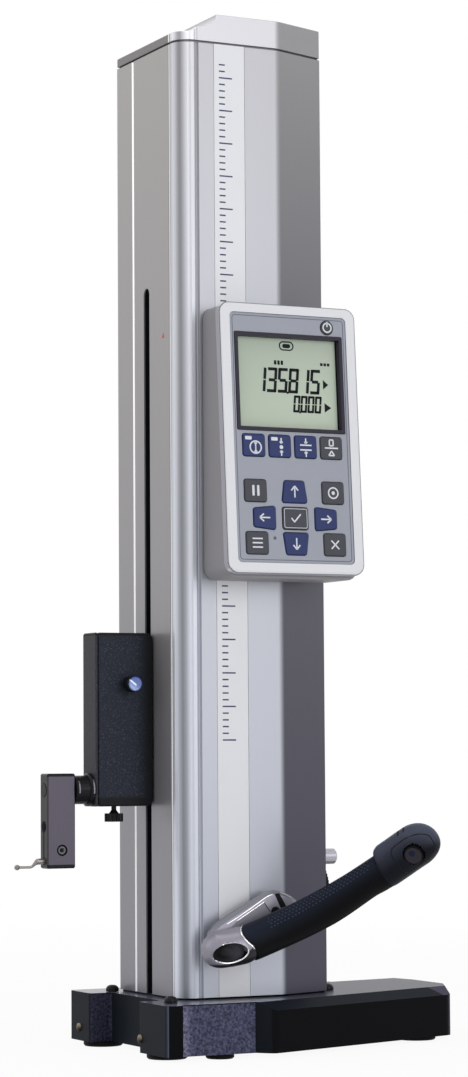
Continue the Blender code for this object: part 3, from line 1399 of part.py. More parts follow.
# The housing fills the wedge between the tilted shell and the column's flat front
def make_display_housing(root, frame):
    place = Matrix.Translation(frame.location) @ Matrix.Rotation(-DISPLAY_TILT, 4, "X")
    width = SHELL_WIDTH - 2 * HOUSING_INSET
    height = SHELL_HEIGHT + HOUSING_CHIN - 2 * HOUSING_INSET
    outline = rectangle(width, height, (DISPLAY_X, DISPLAY_Z + SHELL_Z - HOUSING_CHIN / 2))
    deep = DISPLAY_FRONT + SHELL_HEIGHT * math.sin(DISPLAY_TILT)
    housing = prism(all_rounded(outline, HOUSING_RADIUS), -deep, -GAP, "Y")
    build = bmesh.new()
    build.from_mesh(housing.data)
    point = place @ Vector((0, SHELL_DEPTH + GAP, 0))
    normal = place.to_3x3() @ Vector((0, -1, 0))
    everything = build.verts[:] + build.edges[:] + build.faces[:]
    sliced = bmesh.ops.bisect_plane(build, geom=everything, plane_co=point, plane_no=normal,
                                    clear_outer=True)
    rim = [part for part in sliced["geom_cut"] if isinstance(part, bmesh.types.BMEdge)]
    bmesh.ops.contextual_create(build, geom=rim)
    bmesh.ops.recalc_face_normals(build, faces=build.faces)
    build.to_mesh(housing.data)
    build.free()
    soften(housing, HOUSING_SOFT, 2, SEAM_ANGLE)
    seat = BOARD_DEPTH + BOARD_THICKNESS + GAP
    for border, depth in ((BOARD_BORDER + GAP, seat), (-BOARD_LEDGE, HOUSING_POCKET)):
        tool = prism(panel_outline(border), 0, depth, "Y")
        tool.data.transform(place)
        cut(housing, tool)
    settle(housing, "display_housing", "housing_grey", root, (DISPLAY_X, -GAP, DISPLAY_Z))


def make_handwheel(root):
    centre = (DRIVE_Y, DRIVE_Z)
    origin = (COLUMN_WIDTH, *centre)
    hub_start = COLUMN_WIDTH + GAP
    hub_end = hub_start + WHEEL_HUB_LENGTH
    profile = pulley_profile(SHAFT_RADIUS)
    end = profile[0][1] - AXLE_OVERHANG
    turned_profile = [(0, end), (SHAFT_RADIUS, end)] + profile
    turned_profile += [(SHAFT_RADIUS, hub_end - GAP), (0, hub_end - GAP)]
    shaft = turned(turned_profile, (0, *centre), "X")
    settle(shaft, "drive_shaft", "steel", root, origin)
    left = COLUMN_WIDTH + WHEEL_CLEAR
    right = left + WHEEL_THICKNESS
    wheel = prism(toothed(WHEEL_RADIUS, WHEEL_TOOTH, WHEEL_TEETH, centre), left, right, "X")
    cut(wheel, prism(circle(WHEEL_DISH_RADIUS, centre), right - WHEEL_DISH_DEPTH, right + OVERRUN, "X"))
    join(wheel, prism(circle(WHEEL_HUB_RADIUS, centre), hub_start, hub_end, "X"))
    cut(wheel, rod(SHAFT_RADIUS + GAP, hub_start - OVERRUN, hub_end + OVERRUN, centre, "X", ROUND_SIDES))
    settle(wheel, "handwheel", "dark", root, origin)


def make_side_knob(root):
    start = COLUMN_WIDTH + GAP
    end = start + SIDE_KNOB_LENGTH
    stem = COLUMN_WIDTH - SIDE_KNOB_STEM_LENGTH
    profile = (
        (0, stem),
        (SIDE_KNOB_STEM_RADIUS, stem),
        (SIDE_KNOB_STEM_RADIUS, start),
        (SIDE_KNOB_RADIUS, start),
        (SIDE_KNOB_RADIUS, end - SIDE_KNOB_CHAMFER),
        (SIDE_KNOB_RADIUS - SIDE_KNOB_CHAMFER, end),
        (0, end),
    )
    knob = turned(profile, (0, SIDE_KNOB_Y, SIDE_KNOB_Z), "X", SMALL_SIDES)
    settle(knob, "side_knob", "silver", root, (start, SIDE_KNOB_Y, SIDE_KNOB_Z))


def even_stations(start, end, count, half_depth, half_height, rise=0):
    shares = [start + (end - start) * step / count for step in range(count + 1)]
    return [(share, half_depth, half_height, rise) for share in shares]


# Stations that round off a tube's end like a quarter of an ellipse
def rounded_end(start, end, half_depth, half_height, rise=0, steps=ARC_STEPS):
    stations = []
    for step in range(1, steps):
        turn = math.pi / 2 * step / steps
        share = start + (end - start) * math.sin(turn)
        stations.append((share, half_depth * math.cos(turn), half_height * math.cos(turn), rise))
    return stations


def make_grip_bracket(root):
    grip = smooth_line(GRIP_LINE)
    lobe_line = smooth_line(LOBE_LINE)
    stations = rounded_end(LOBE_ROUND_SHARE, 0, LOBE_HALF_DEPTH, LOBE_HALF_HEIGHT)[::-1]
    stations += even_stations(LOBE_ROUND_SHARE, 1, LOBE_STEPS, LOBE_HALF_DEPTH, LOBE_HALF_HEIGHT)
    bracket = oval_tube(lobe_line, stations)
    core = even_stations(0, CORE_END_SHARE, CORE_STEPS, CORE_RADIUS, CORE_RADIUS)
    join(bracket, oval_tube(grip, core, CORE_SIDES))
    leg_line = smooth_line(LEG_LINE)
    stations = even_stations(0, LEG_END_ROUND_SHARE, LEG_STEPS, LEG_HALF_DEPTH, LEG_HALF_HEIGHT)
    stations += rounded_end(LEG_END_ROUND_SHARE, 1, LEG_HALF_DEPTH, LEG_HALF_HEIGHT)
    join(bracket, oval_tube(leg_line, stations))
    pad = box((LEG_PAD_LEFT, LEG_PAD_RIGHT), (LEG_LINE[-1][1], -GAP), (LEG_PAD_LOW, LEG_PAD_HIGH))
    join(bracket, pad)
    front = LEG_LINE[-1][1] - LEG_HALF_DEPTH
    slot = prism(rectangle(LEG_SLOT_WIDTH, LEG_SLOT_LENGTH), front - OVERRUN, front + LEG_SLOT_DEPTH, "Y")
    turn = Matrix.Rotation(-LEG_SLOT_TURN, 4, "Y")
    slot.data.transform(Matrix.Translation((LEG_SLOT_X, 0, LEG_SLOT_Z)) @ turn)
    cut(bracket, slot)
    hole = (LEG_HOLE_X, LEG_HOLE_Z)
    cut(bracket, rod(LEG_HOLE_RADIUS, front - OVERRUN, front + LEG_SLOT_DEPTH, hole, "Y"))
    dish = (DISH_X, DISH_Z)
    far = GRIP_LINE[0][1] - 2 * LOBE_HALF_DEPTH
    cut(bracket, prism(ellipse(DISH_HALF_WIDTH, DISH_HALF_HEIGHT, dish), far, DISH_FLOOR_Y, "Y"))
    settle(bracket, "grip_bracket", "silver", root, GRIP_LINE[0])

    rings = []
    sunk = DISH_CAP_FRONT_Y + (DISH_FLOOR_Y - DISH_CAP_FRONT_Y) * DISH_SINK_SHARE
    levels = (DISH_FLOOR_Y - GAP, DISH_CAP_FRONT_Y, DISH_CAP_FRONT_Y, sunk)
    for share, y in zip(DISH_RING_SHARES, levels):
        oval = ellipse((DISH_HALF_WIDTH - GAP) * share, (DISH_HALF_HEIGHT - GAP) * share, dish)
        rings.append([Vector((x, y, z)) for x, z in oval])
    settle(skin(rings), "lobe_cap", "dark", root, (DISH_X, DISH_FLOOR_Y, DISH_Z))


# Frame of the air button on the tip's skin, with its Z axis out of the tip
def air_button_frame(line):
    place, direction, side, up = at_share(line, AIR_BUTTON_SHARE)
    across = math.cos(AIR_BUTTON_TURN)
    lift = math.sin(AIR_BUTTON_TURN)
    outward = (side * across / TIP_HALF_DEPTH + up * lift / TIP_HALF_HEIGHT).normalized()
    turn = Matrix((direction, outward.cross(direction), outward)).transposed().to_4x4()
    face = place + side * across * TIP_HALF_DEPTH + up * (TIP_RISE + lift * TIP_HALF_HEIGHT)
    return Matrix.Translation(face) @ turn


def make_grip(root):
    line = smooth_line(GRIP_LINE)
    length = sum((after - before).length for before, after in zip(line, line[1:]))
    roll = SLEEVE_ROLL / length
    small_depth = SLEEVE_HALF_DEPTH - SLEEVE_ROLL
    small_height = SLEEVE_HALF_HEIGHT - SLEEVE_ROLL
    start = SLEEVE_START_SHARE
    stations = [(start, small_depth, small_height, 0)]
    stations += even_stations(start + roll, SLEEVE_END_SHARE, SLEEVE_STEPS,
                              SLEEVE_HALF_DEPTH, SLEEVE_HALF_HEIGHT)
    sleeve = oval_tube(line, stations)
    bore = CORE_RADIUS + GAP
    cut(sleeve, oval_tube(line, even_stations(0, CORE_END_SHARE, CORE_STEPS, bore, bore), CORE_SIDES))
    settle(sleeve, "grip_sleeve", "rubber", root, GRIP_LINE[0])

    start = SLEEVE_END_SHARE + GAP / length
    shoulder = start + 2 * roll
    stations = [(start, SLEEVE_HALF_DEPTH, SLEEVE_HALF_HEIGHT, 0)]
    size = (TIP_HALF_DEPTH, TIP_HALF_HEIGHT, TIP_RISE)
    stations += even_stations(shoulder, TIP_ROUND_SHARE, LOBE_STEPS, *size)
    stations += rounded_end(TIP_ROUND_SHARE, 1, *size)
    tip = oval_tube(line, stations)
    reach = CORE_END_SHARE + GAP / length
    cut(tip, oval_tube(line, even_stations(0, reach, CORE_STEPS, bore, bore), CORE_SIDES))
    frame = air_button_frame(line)
    inner = AIR_BUTTON_PROUD - AIR_BUTTON_DEPTH
    floor = inner - AIR_BUTTON_TRAVEL - RUN_GAP
    pocket = rod(AIR_BUTTON_RADIUS + KEY_PLAY, floor, AIR_BUTTON_PROUD + OVERRUN, (0, 0), "Z", ROUND_SIDES)
    pocket.data.transform(frame)
    cut(tip, pocket)
    vent_place, vent_direction, vent_side, vent_up = at_share(line, VENT_SHARE)
    vent_frame = Matrix((vent_direction, vent_side, vent_up)).transposed().to_4x4()
    crest = TIP_RISE + TIP_HALF_HEIGHT
    for step in (-1, 1):
        middle = step * VENT_SPACING / 2
        ys = (middle - VENT_WIDTH / 2, middle + VENT_WIDTH / 2)
        vent = box((-VENT_LENGTH / 2, VENT_LENGTH / 2), ys, (crest - VENT_DEPTH, crest + OVERRUN))
        vent.data.transform(Matrix.Translation(vent_place) @ vent_frame)
        cut(tip, vent)
    settle(tip, "grip_tip", "dark", root, line[-1])
    profile = (
        (0, inner),
        (AIR_BUTTON_RADIUS, inner),
        (AIR_BUTTON_RADIUS, AIR_BUTTON_PROUD - KEY_SOFT),
        (AIR_BUTTON_RADIUS - KEY_SOFT, AIR_BUTTON_PROUD),
        (0, AIR_BUTTON_PROUD),
    )
    button = turned(profile, (0, 0, 0), "Z", SMALL_SIDES)
    button.data.transform(frame)
    settle(button, "air_button", "dark", root, frame.translation)


# Stands the gauge with its outer box's bottom middle on the world's origin
def stand_on_origin(root):
    bpy.context.view_layer.update()
    corners = []
    for item in bpy.data.objects:
        if item.type == "MESH":
            corners += [item.matrix_world @ vert.co for vert in item.data.vertices]
    lows = [min(corner[axis] for corner in corners) for axis in range(3)]
    highs = [max(corner[axis] for corner in corners) for axis in range(3)]
    root.location = (-(lows[0] + highs[0]) / 2, -(lows[1] + highs[1]) / 2, -lows[2])
    bpy.context.view_layer.update()


def frame_at(name, place, parent=None):
    frame = bpy.data.objects.new(name, None)
    bpy.context.collection.objects.link(frame)
    frame.parent = parent
    frame.location = place
    return frame


def main():
    clear_scene()
    root = frame_at("height_gauge", (0, 0, 0))
    foot = frame_at("base_frame", (0, 0, -SEAT_HEIGHT - GAP), root)
    make_base(foot)
    for name, place in PAD_PLACES.items():
        make_pad(foot, name, PAD_RADIUS, place)
    make_pad(foot, "base_pad_front", FRONT_PAD_RADIUS, (FRONT_PAD_X, FRONT_PAD_Y))
    make_pump_bay(foot)
    for name, place in DOME_PLACES.items():
        make_dome_screw(foot, name, place)
    make_column(root)
    make_cap(root)
    make_rail_and_scale(root)
    make_belt(root)
    make_idler(root)
    make_counterweight(root)
    make_carriage(root)
    make_slider(root)
    make_lock_knob(root)
    make_thumb_screw(root)
    make_probe(root)
    make_display(root)
    make_handwheel(root)
    make_side_knob(root)
    make_grip_bracket(root)
    make_grip(root)
    stand_on_origin(root)


main()
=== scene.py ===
import math

import bmesh
import bpy
from mathutils import Matrix, Vector


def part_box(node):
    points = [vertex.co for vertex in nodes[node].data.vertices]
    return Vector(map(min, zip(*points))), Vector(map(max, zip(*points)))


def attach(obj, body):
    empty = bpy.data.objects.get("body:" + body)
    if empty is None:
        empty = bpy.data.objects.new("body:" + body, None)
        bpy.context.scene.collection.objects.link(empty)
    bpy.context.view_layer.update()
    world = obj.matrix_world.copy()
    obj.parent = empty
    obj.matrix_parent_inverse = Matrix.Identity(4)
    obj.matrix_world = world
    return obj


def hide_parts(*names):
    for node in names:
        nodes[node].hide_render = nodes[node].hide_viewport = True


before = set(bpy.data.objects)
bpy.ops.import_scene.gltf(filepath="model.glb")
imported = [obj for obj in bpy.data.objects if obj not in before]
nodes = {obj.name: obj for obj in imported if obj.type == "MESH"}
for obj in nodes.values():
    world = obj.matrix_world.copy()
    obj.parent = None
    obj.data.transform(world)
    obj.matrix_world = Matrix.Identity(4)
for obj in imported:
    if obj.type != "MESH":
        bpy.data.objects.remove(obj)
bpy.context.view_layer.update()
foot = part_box("column_shell")[0]  # foot of the column's front left corner: all places count from it
print("frame loaded")


def at(x, y, z):  # millimetres from the foot to a place in the frame
    return foot + Vector((x, y, z)) / 1000


def rgb(red, green, blue):  # screen colour from 0 to 255 as the light it stands for
    parts = [part / 255 for part in (red, green, blue)]
    return tuple(part / 12.92 if part < 0.04 else ((part + 0.055) / 1.055) ** 2.4 for part in parts) + (1,)


def shades(colour, *shares):  # darker and lighter forms of a colour
    return [tuple(part * share for part in colour[:3]) + (1,) for share in shares]


def turns(count):  # even steps once round
    return [2 * math.pi * step / count for step in range(count)]


# Materials: a Wire is one socket, and a sum, product or comparison of wires adds the node for it

class Wire:
    def __init__(self, paint, socket):
        self.paint = paint
        self.socket = socket

    def meet(self, other, operation):
        kinds = {part.socket.type for part in (self, other) if isinstance(part, Wire)}
        kind = "Math" if kinds == {"VALUE"} else "VectorMath"
        return self.paint.add(kind, {"operation": operation}, {0: self, 1: other})

    def __add__(self, other):
        return self.meet(other, "ADD")

    def __sub__(self, other):
        return self.meet(other, "SUBTRACT")

    def __mul__(self, other):
        return self.meet(other, "MULTIPLY")

    def __gt__(self, other):
        return self.meet(other, "GREATER_THAN")

    def __lt__(self, other):
        return self.meet(other, "LESS_THAN")

    def __or__(self, other):  # the greater of the two
        return self.meet(other, "MAXIMUM")

    def __abs__(self):
        return self.meet(0, "ABSOLUTE")

    def span(self, low, high):  # low where the wire is 0, high where it is 1
        return self * (high - low) + low

    def within(self, low, high):
        return (self > low) * (self < high)

    def near(self, place, half):
        return abs(self - place) < half


class Paint:
    def __init__(self, owner):
        owner.use_nodes = True
        self.owner = owner
        self.tree = owner.node_tree

    def add(self, kind, settings={}, sockets={}, output=0):
        node = self.tree.nodes.new("ShaderNode" + kind)
        for name, value in settings.items():
            if name == "stops":
                while len(node.color_ramp.elements) < len(value):
                    node.color_ramp.elements.new(0.5)
                for stop, (place, colour) in zip(node.color_ramp.elements, value):
                    stop.position = place
                    stop.color = colour
            else:
                setattr(node, name, value)
        for name, value in sockets.items():
            self.feed(node.inputs[name], value)
        return Wire(self, node.outputs[output])

    def feed(self, socket, value):
        if isinstance(value, Wire):
            self.tree.links.new(value.socket, socket)
        elif socket.type == "VECTOR" and isinstance(value, (int, float)):
            socket.default_value = (value, value, value)
        else:
            socket.default_value = value

    def finish(self, look, base, rough, relief, special={}):  # feeds the material's own shader
        sockets = {"Base Color": base, "Roughness": rough.span(*look["rough"]), "Metallic": look.get("metallic", 0),
                   "Specular IOR Level": look["gloss"], "Coat Weight": look.get("coat", 0)}
        if "bump" in look:
            sockets["Normal"] = self.add("Bump", {}, {"Height": relief, "Strength": look["bump"],
                                                      "Distance": look.get("bumpReach", 0.0001)})
        for name, value in {**sockets, **special}.items():
            self.feed(self.tree.nodes["Principled BSDF"].inputs[name], value)
        return self.owner

    def place(self):  # metres from the foot
        return self.add("TexCoord", output="Object") - tuple(foot)

    def facing(self, axes):
        return self.split(self.add("TexCoord", output="Normal"), axes)

    def split(self, wire, axes):
        parts = self.add("SeparateXYZ", {}, {0: wire}).socket.node.outputs
        return [Wire(self, parts[axis]) for axis in axes]

    def away(self, where, spot):
        return self.add("VectorMath", {"operation": "DISTANCE"}, {0: where, 1: spot}, "Value")

    def noise(self, where, scale, detail=2, stretch=(1, 1, 1)):
        return self.add("TexNoise", {}, {"Vector": where * stretch, "Scale": scale, "Detail": detail})

    def fade(self, value, low, high):  # 0 at low, 1 at high
        return self.add("MapRange", {"interpolation_type": "SMOOTHSTEP"},
                        {"Value": value, "From Min": low, "From Max": high})

    def mix(self, share, first, second):
        return self.add("Mix", {"data_type": "RGBA"}, {0: share, 6: first, 7: second}, 2)

    def seen(self):  # 1 for the rays of the camera, of metal and of glass, which all see the white room
        camera, gloss, clear = (self.add("LightPath", output=name)
                                for name in ("Is Camera Ray", "Is Glossy Ray", "Is Transmission Ray"))
        return camera | gloss | clear


def begin(name, look):  # a new finish, the place on it and its grain
    paint = Paint(bpy.data.materials.new(name))
    where = paint.place()
    return paint, where, paint.noise(where, look["grain"], look.get("detail", 2), look.get("stretch", (1, 1, 1)))


# Camera, lights and floor

cameraLook = {
    "place": (-970.371, -2041.141, 183.051),
    "yaw": 26.444,
    "pitch": 3.9579,
    "roll": -0.3598,
    "lens": 101.84,
    "sensor": 36,
}


def makeCamera():
    yaw, pitch, roll = (math.radians(cameraLook[name]) for name in ("yaw", "pitch", "roll"))
    ahead = Vector((math.sin(yaw) * math.cos(pitch), math.cos(yaw) * math.cos(pitch), math.sin(pitch)))
    right = Vector((math.cos(yaw), -math.sin(yaw), 0))
    up = right.cross(ahead)
    turnedRight = right * math.cos(roll) + up * math.sin(roll)
    turnedUp = up * math.cos(roll) - right * math.sin(roll)
    lens = bpy.data.cameras.new("camera")
    lens.sensor_width = cameraLook["sensor"]
    lens.lens = cameraLook["lens"]
    camera = bpy.data.objects.new("camera", lens)
    bpy.context.scene.collection.objects.link(camera)
    camera.matrix_world = Matrix.Translation(at(*cameraLook["place"])) @ Matrix(
        (turnedRight, turnedUp, -ahead)).transposed().to_4x4()
    bpy.context.scene.camera = camera


# Area lights: place and aim in metres from the foot, side in metres, power in watts
lightLooks = {
    "keyLight": {"place": (0.8, -3.4, 1.1), "aim": (0.06, 0.0, 0.3), "side": 2.2, "power": 38},
    "leftLight": {"place": (-2.6, 0.6, 1.6), "aim": (0.0, 0.05, 0.4), "side": 2.0, "power": 15},
    "topLight": {"place": (-0.1, -0.3, 2.6), "aim": (0.06, 0.0, 0.2), "side": 1.8, "power": 15},
    "backLight": {"place": (0.4, 2.5, 1.8), "aim": (0.06, 0.05, 0.35), "side": 2.0, "power": 9},
}


def makeLights():
    for name, look in lightLooks.items():
        lamp = bpy.data.lights.new(name, "AREA")
        lamp.size = look["side"]
        lamp.energy = look["power"]
        light = bpy.data.objects.new(name, lamp)
        light.location = foot + Vector(look["place"])
        light.rotation_euler = (Vector(look["aim"]) - Vector(look["place"])).to_track_quat("-Z", "Y").to_euler()
        light.visible_camera = False
        bpy.context.scene.collection.objects.link(light)


# Room: the floor glows a little near the part and fully far away, where it meets the white world
roomLook = {"white": (1, 1, 1, 1), "ambient": 0.36, "floor": rgb(246, 246, 246), "side": 60, "glow": 0.93,
            "glowReach": (0.5, 2.2)}


def makeRoom():
    world = bpy.data.worlds.new("room")
    bpy.context.scene.world = world
    bpy.context.scene.view_settings.view_transform = "Standard"
    room = Paint(world)
    background = room.tree.nodes["Background"].inputs
    room.feed(background["Color"], roomLook["white"])
    room.feed(background["Strength"], room.seen().span(roomLook["ambient"], 1))
    half = roomLook["side"] / 2
    build = bmesh.new()
    build.faces.new([build.verts.new((x * half, y * half, 0)) for x, y in ((-1, -1), (1, -1), (1, 1), (-1, 1))])
    mesh = bpy.data.meshes.new("floor")
    build.to_mesh(mesh)
    build.free()
    floor = bpy.data.objects.new("floor", mesh)
    bpy.context.scene.collection.objects.link(floor)
    paint = Paint(bpy.data.materials.new("floorWhite"))
    matt = paint.add("BsdfDiffuse", {}, {"Color": roomLook["floor"]})
    glow = paint.add("Emission", {}, {"Color": roomLook["white"], "Strength": 1.0})
    white = paint.fade(paint.away(paint.place(), (0, 0, 0)), *roomLook["glowReach"]).span(roomLook["glow"], 1)
    both = paint.add("MixShader", {}, {0: paint.seen() * white, 1: matt, 2: glow})
    paint.tree.links.new(both.socket, paint.tree.nodes["Material Output"].inputs["Surface"])
    mesh.materials.append(paint.owner)


makeCamera()
makeLights()
makeRoom()
print("camera, lights and floor made")


# Finishes. In the tables a place is in metres from the foot, a face is a part of the surface's normal, a pair of
# limits is where a fade starts and ends, and a tone is what a colour is multiplied by

satinBase = {"clouds": (28, 3)}  # scale and detail
satinColumns = ("colour", "rough", "metallic", "grain", "tone", "bump", "gloss")
satinLooks = {
    "stripFilm": (rgb(227, 228, 233), (0.34, 0.5), 0.1, 1400, 0.06, 0.15, 0.5),
    "housingPaint": (rgb(146, 144, 148), (0.42, 0.58), 0.1, 1300, 0.06, 0.15, 0.5),
    "panelFilm": (rgb(150, 154, 166), (0.34, 0.5), 0.1, 1600, 0.04, 0.15, 0.5),
    "bezelPlastic": (rgb(50, 46, 58), (0.32, 0.48), 0, 1300, 0.1, 0.1, 0.15),
    "keyNavy": (rgb(44, 56, 106), (0.32, 0.48), 0, 1500, 0.1, 0.15, 0.2),
    "keyGrey": (rgb(72, 74, 82), (0.34, 0.5), 0, 1500, 0.1, 0.15, 0.2),
    "legendWhite": (rgb(226, 229, 236), (0.42, 0.58), 0, 1500, 0.03, 0.15, 0.5),
    "navyInk": (rgb(38, 44, 88), (0.37, 0.53), 0, 1500, 0.06, 0.15, 0.5),
    "blackInk": (rgb(20, 24, 28), (0.37, 0.53), 0, 1500, 0.08, 0.1, 0.1),
    "redInk": (rgb(214, 60, 56), (0.37, 0.53), 0, 1500, 0.06, 0.15, 0.5),
    "lineInk": (rgb(82, 88, 104), (0.37, 0.53), 0, 1500, 0.05, 0.15, 0.5),
    "darkPlastic": (rgb(18, 19, 23), (0.3, 0.46), 0, 1100, 0.14, 0.15, 0.15),
    "stylusMetal": (rgb(132, 128, 126), (0.22, 0.38), 0.7, 1500, 0.12, 0.15, 0.5),
    "brightSteel": (rgb(196, 194, 194), (0.18, 0.34), 0.9, 1600, 0.06, 0.15, 0.5),
    "chromeRim": (rgb(228, 228, 232), (0.06, 0.22), 0.9, 1600, 0.03, 0.03, 0.5),
    "paleMetal": (rgb(182, 180, 190), (0.26, 0.42), 0.5, 1400, 0.05, 0.15, 0.5),
    "greyMetal": (rgb(120, 118, 120), (0.37, 0.53), 0.4, 1200, 0.1, 0.15, 0.5),
    "beltSteel": (rgb(150, 152, 158), (0.28, 0.44), 0.8, 1500, 0.08, 0.15, 0.5),
    "boardGreen": (rgb(36, 92, 62), (0.37, 0.53), 0, 700, 0.14, 0.15, 0.5),
    "padRubber": (rgb(8, 8, 10), (0.52, 0.68), 0, 900, 0.12, 0.3, 0.1),
}


def satinPaint(name, look):  # plain moulded or machined finish: cloudy tone and fine grain
    paint, where, grit = begin(name, look)
    share = (paint.noise(where, *look["clouds"]) + grit) * 0.5
    base = paint.mix(share, *shades(look["colour"], 1 - look["tone"], 1 + look["tone"]))
    return paint.finish(look, base, grit, grit)


# The column's colours carry painted light: the front and the left face are graded by height to even out the fall of
# the light, the facet is painted dark as a painted reflection, the bright lines on the left face are painted
# highlights, the hollow inside is painted shade, and the groove floor is painted lighter with painted shade lines at
# its edges
columnLook = {
    "frontHigh": rgb(172, 172, 177), "frontLow": rgb(180, 184, 195),
    "sideHigh": rgb(172, 169, 167), "sideLow": rgb(140, 139, 147),
    "facetHigh": rgb(150, 150, 152), "facetLow": rgb(79, 78, 91), "crease": (0.0822, 0.0874),
    "height": 0.72, "radius": 0.0135, "leftEnd": 0.002,
    "flankStart": 0.0136, "flankSlope": 0.02, "flankRight": 1,
    "beadHighlight": rgb(252, 252, 252), "beads": ((0.0815, 0.0016), (0.0157, 0.001)),  # depth and half width
    "insideShade": rgb(30, 35, 40), "insideAcross": (0.0012, 0.128), "insideDepth": (0.0185, 0.109), "insideHead": 0.709,
    "groove": 0.0151, "grooveHalf": 0.0017, "grooveEdge": (0.0011, 0.0003), "grooveDepth": (0.0002, 0.003),
    "grooveFloorLight": 1.35, "sideGroove": (0.014, 0.0004), "grooveEdgeShade": 0.6,
    "seam": (0.7162, 0.0009), "seamTone": 0.3, "upFace": (0.8, 0.95), "upTone": 0.5,
    "drawn": (1400, 1400, 9), "grain": 1100, "detail": 1, "grainTone": (0.94, 1.06),
    "rough": (0.3, 0.42), "metallic": 0.4, "gloss": 0.3, "bump": 0.12, "bumpReach": 0.00008,
}
# the cap keeps the painted reflection bands and a painted highlight line; its left face is painted darker than its
# front as painted shade
capLook = dict(columnLook, frontHigh=rgb(194, 194, 199), frontLow=rgb(194, 194, 199), sideHigh=rgb(126, 123, 123),
               sideLow=rgb(126, 123, 123), facetHigh=rgb(156, 156, 159), facetLow=rgb(156, 156, 159),
               beads=((0.0815, 0), (0.0157, 0.001)), flankRight=0.004)
# Painted reflection bands: tone of the rounded corner from the left face to the front, near the foot and near the top
rollReflectionTones = (
    ((0.0, 1.5), (0.03, 1.7), (0.134, 0.95), (0.27, 0.5), (0.42, 0.61), (0.59, 1.24), (0.8, 1.08), (1.0, 1.12)),
    ((0.0, 1.44), (0.03, 1.46), (0.134, 0.79), (0.27, 0.65), (0.42, 1.3), (0.59, 1.92), (0.8, 1.2), (1.0, 1.16)),
)


def columnPaint(name, look):
    paint, where, grit = begin(name, look)
    across, depth, height = paint.split(where, "XYZ")
    faceZ, = paint.facing("Z")
    drawn = paint.noise(where, 1, 2, look["drawn"])  # lines left by the drawing of the profile
    rise = height * (1 / look["height"])
    # painted light and shade graded by height on the front and the left face; the facet is painted darker toward the
    # foot as a painted reflection
    front, side = (paint.mix(rise, look[part + "Low"], look[part + "High"]) for part in ("front", "side"))
    facetShade = paint.mix(rise * rise, look["facetLow"], look["facetHigh"])
    # painted reflection bands across the rounded corner
    rollReflections = [paint.add("ValToRGB", {"stops": [(place, (tone / 2,) * 3 + (1,)) for place, tone in tones]},
                       {0: across * (1 / look["radius"])}) for tones in rollReflectionTones]
    flank = ((depth - across * look["flankSlope"]) > look["flankStart"]) * (across < look["flankRight"])
    base = paint.mix(paint.fade(across, *look["crease"]), front, facetShade)
    base = paint.mix(across < look["radius"], base, front * (paint.mix(rise, *rollReflections) * 2))
    base = paint.mix(flank, base, side)
    # painted shade in the hollow inside the column
    insideShade = across.within(*look["insideAcross"]) * depth.within(*look["insideDepth"])
    base = paint.mix(insideShade * (height < look["insideHead"]), base, look["insideShade"])
    leftFace = across < look["leftEnd"]
    # painted highlight lines along the left face
    beadHighlight, lipHighlight = (depth.near(*line) for line in look["beads"])
    base = paint.mix((beadHighlight | lipHighlight) * leftFace, base, look["beadHighlight"])
    # painted light on the groove floor and painted shade lines along the groove's edges
    fromGroove = abs(across - look["groove"])
    floor = (fromGroove < look["grooveHalf"]) * depth.within(*look["grooveDepth"])
    frontEdge = fromGroove.near(*look["grooveEdge"]) * (depth < look["grooveDepth"][1])
    edges = frontEdge | (depth.near(*look["sideGroove"]) * leftFace)
    tone = ((drawn + grit) * 0.5).span(*look["grainTone"]) * floor.span(1, look["grooveFloorLight"])
    tone = tone * height.near(*look["seam"]).span(1, look["seamTone"]) * edges.span(1, look["grooveEdgeShade"])
    tone = tone * paint.fade(faceZ, *look["upFace"]).span(1, look["upTone"])
    return paint.finish(look, base * tone, drawn, grit * 0.6 + drawn * 0.4)


# The base's smooth faces are one black paint, toned by where they face as painted light and shade; a lit facet at the
# right end, a glint down the front left corner and a sheen on the top near the column are painted highlights
castLook = {
    "front": rgb(13, 14, 17), "left": rgb(29, 33, 40), "leftFace": (0.3, 0.9),
    "right": rgb(50, 49, 62), "rightFace": (0.4, 0.7),
    "edge": rgb(14, 21, 31), "edgeFace": (0.15, 0.6),
    "endFacetLit": rgb(76, 74, 92), "endStart": 0.2175, "endSlope": 1.667,
    "glint": rgb(84, 88, 108), "glintFace": -0.75, "glintFade": (0.2, 0.05), "glintDepth": 0.002, "glintRight": -0.01,
    "top": rgb(69, 71, 84), "topNearSheen": rgb(96, 98, 114), "topFace": (0.88, 0.98), "near": (0.11, 0.06),
    "coatSpan": (0.2, 0.6), "coatRough": 0.15, "cloudScale": 30, "cloudTone": (0.85, 1.15),
    "coarse": rgb(85, 87, 112), "coarseAcross": (-0.0165, 0.043), "coarseHead": -0.0022, "coarseFace": -0.97,
    # pale is a painted highlight on the coarse front near its left corner; the coarse wall in the notch is darkened as
    # painted shade
    "pale": rgb(128, 126, 156), "paleAcross": (-0.007, -0.0165), "paleDepth": 0.06,
    "blockFace": -0.5, "blockDepth": 0.088, "blockRight": -0.002, "blockShade": 0.5,
    "grain": 540, "detail": 3, "grainFade": (0.18, 0.82), "grainTone": (0.32, 1.68), "smoothBump": 0.03,
    "rough": (0.42, 0.62), "gloss": 0.03, "bump": 1.4, "bumpReach": 0.0008,
}


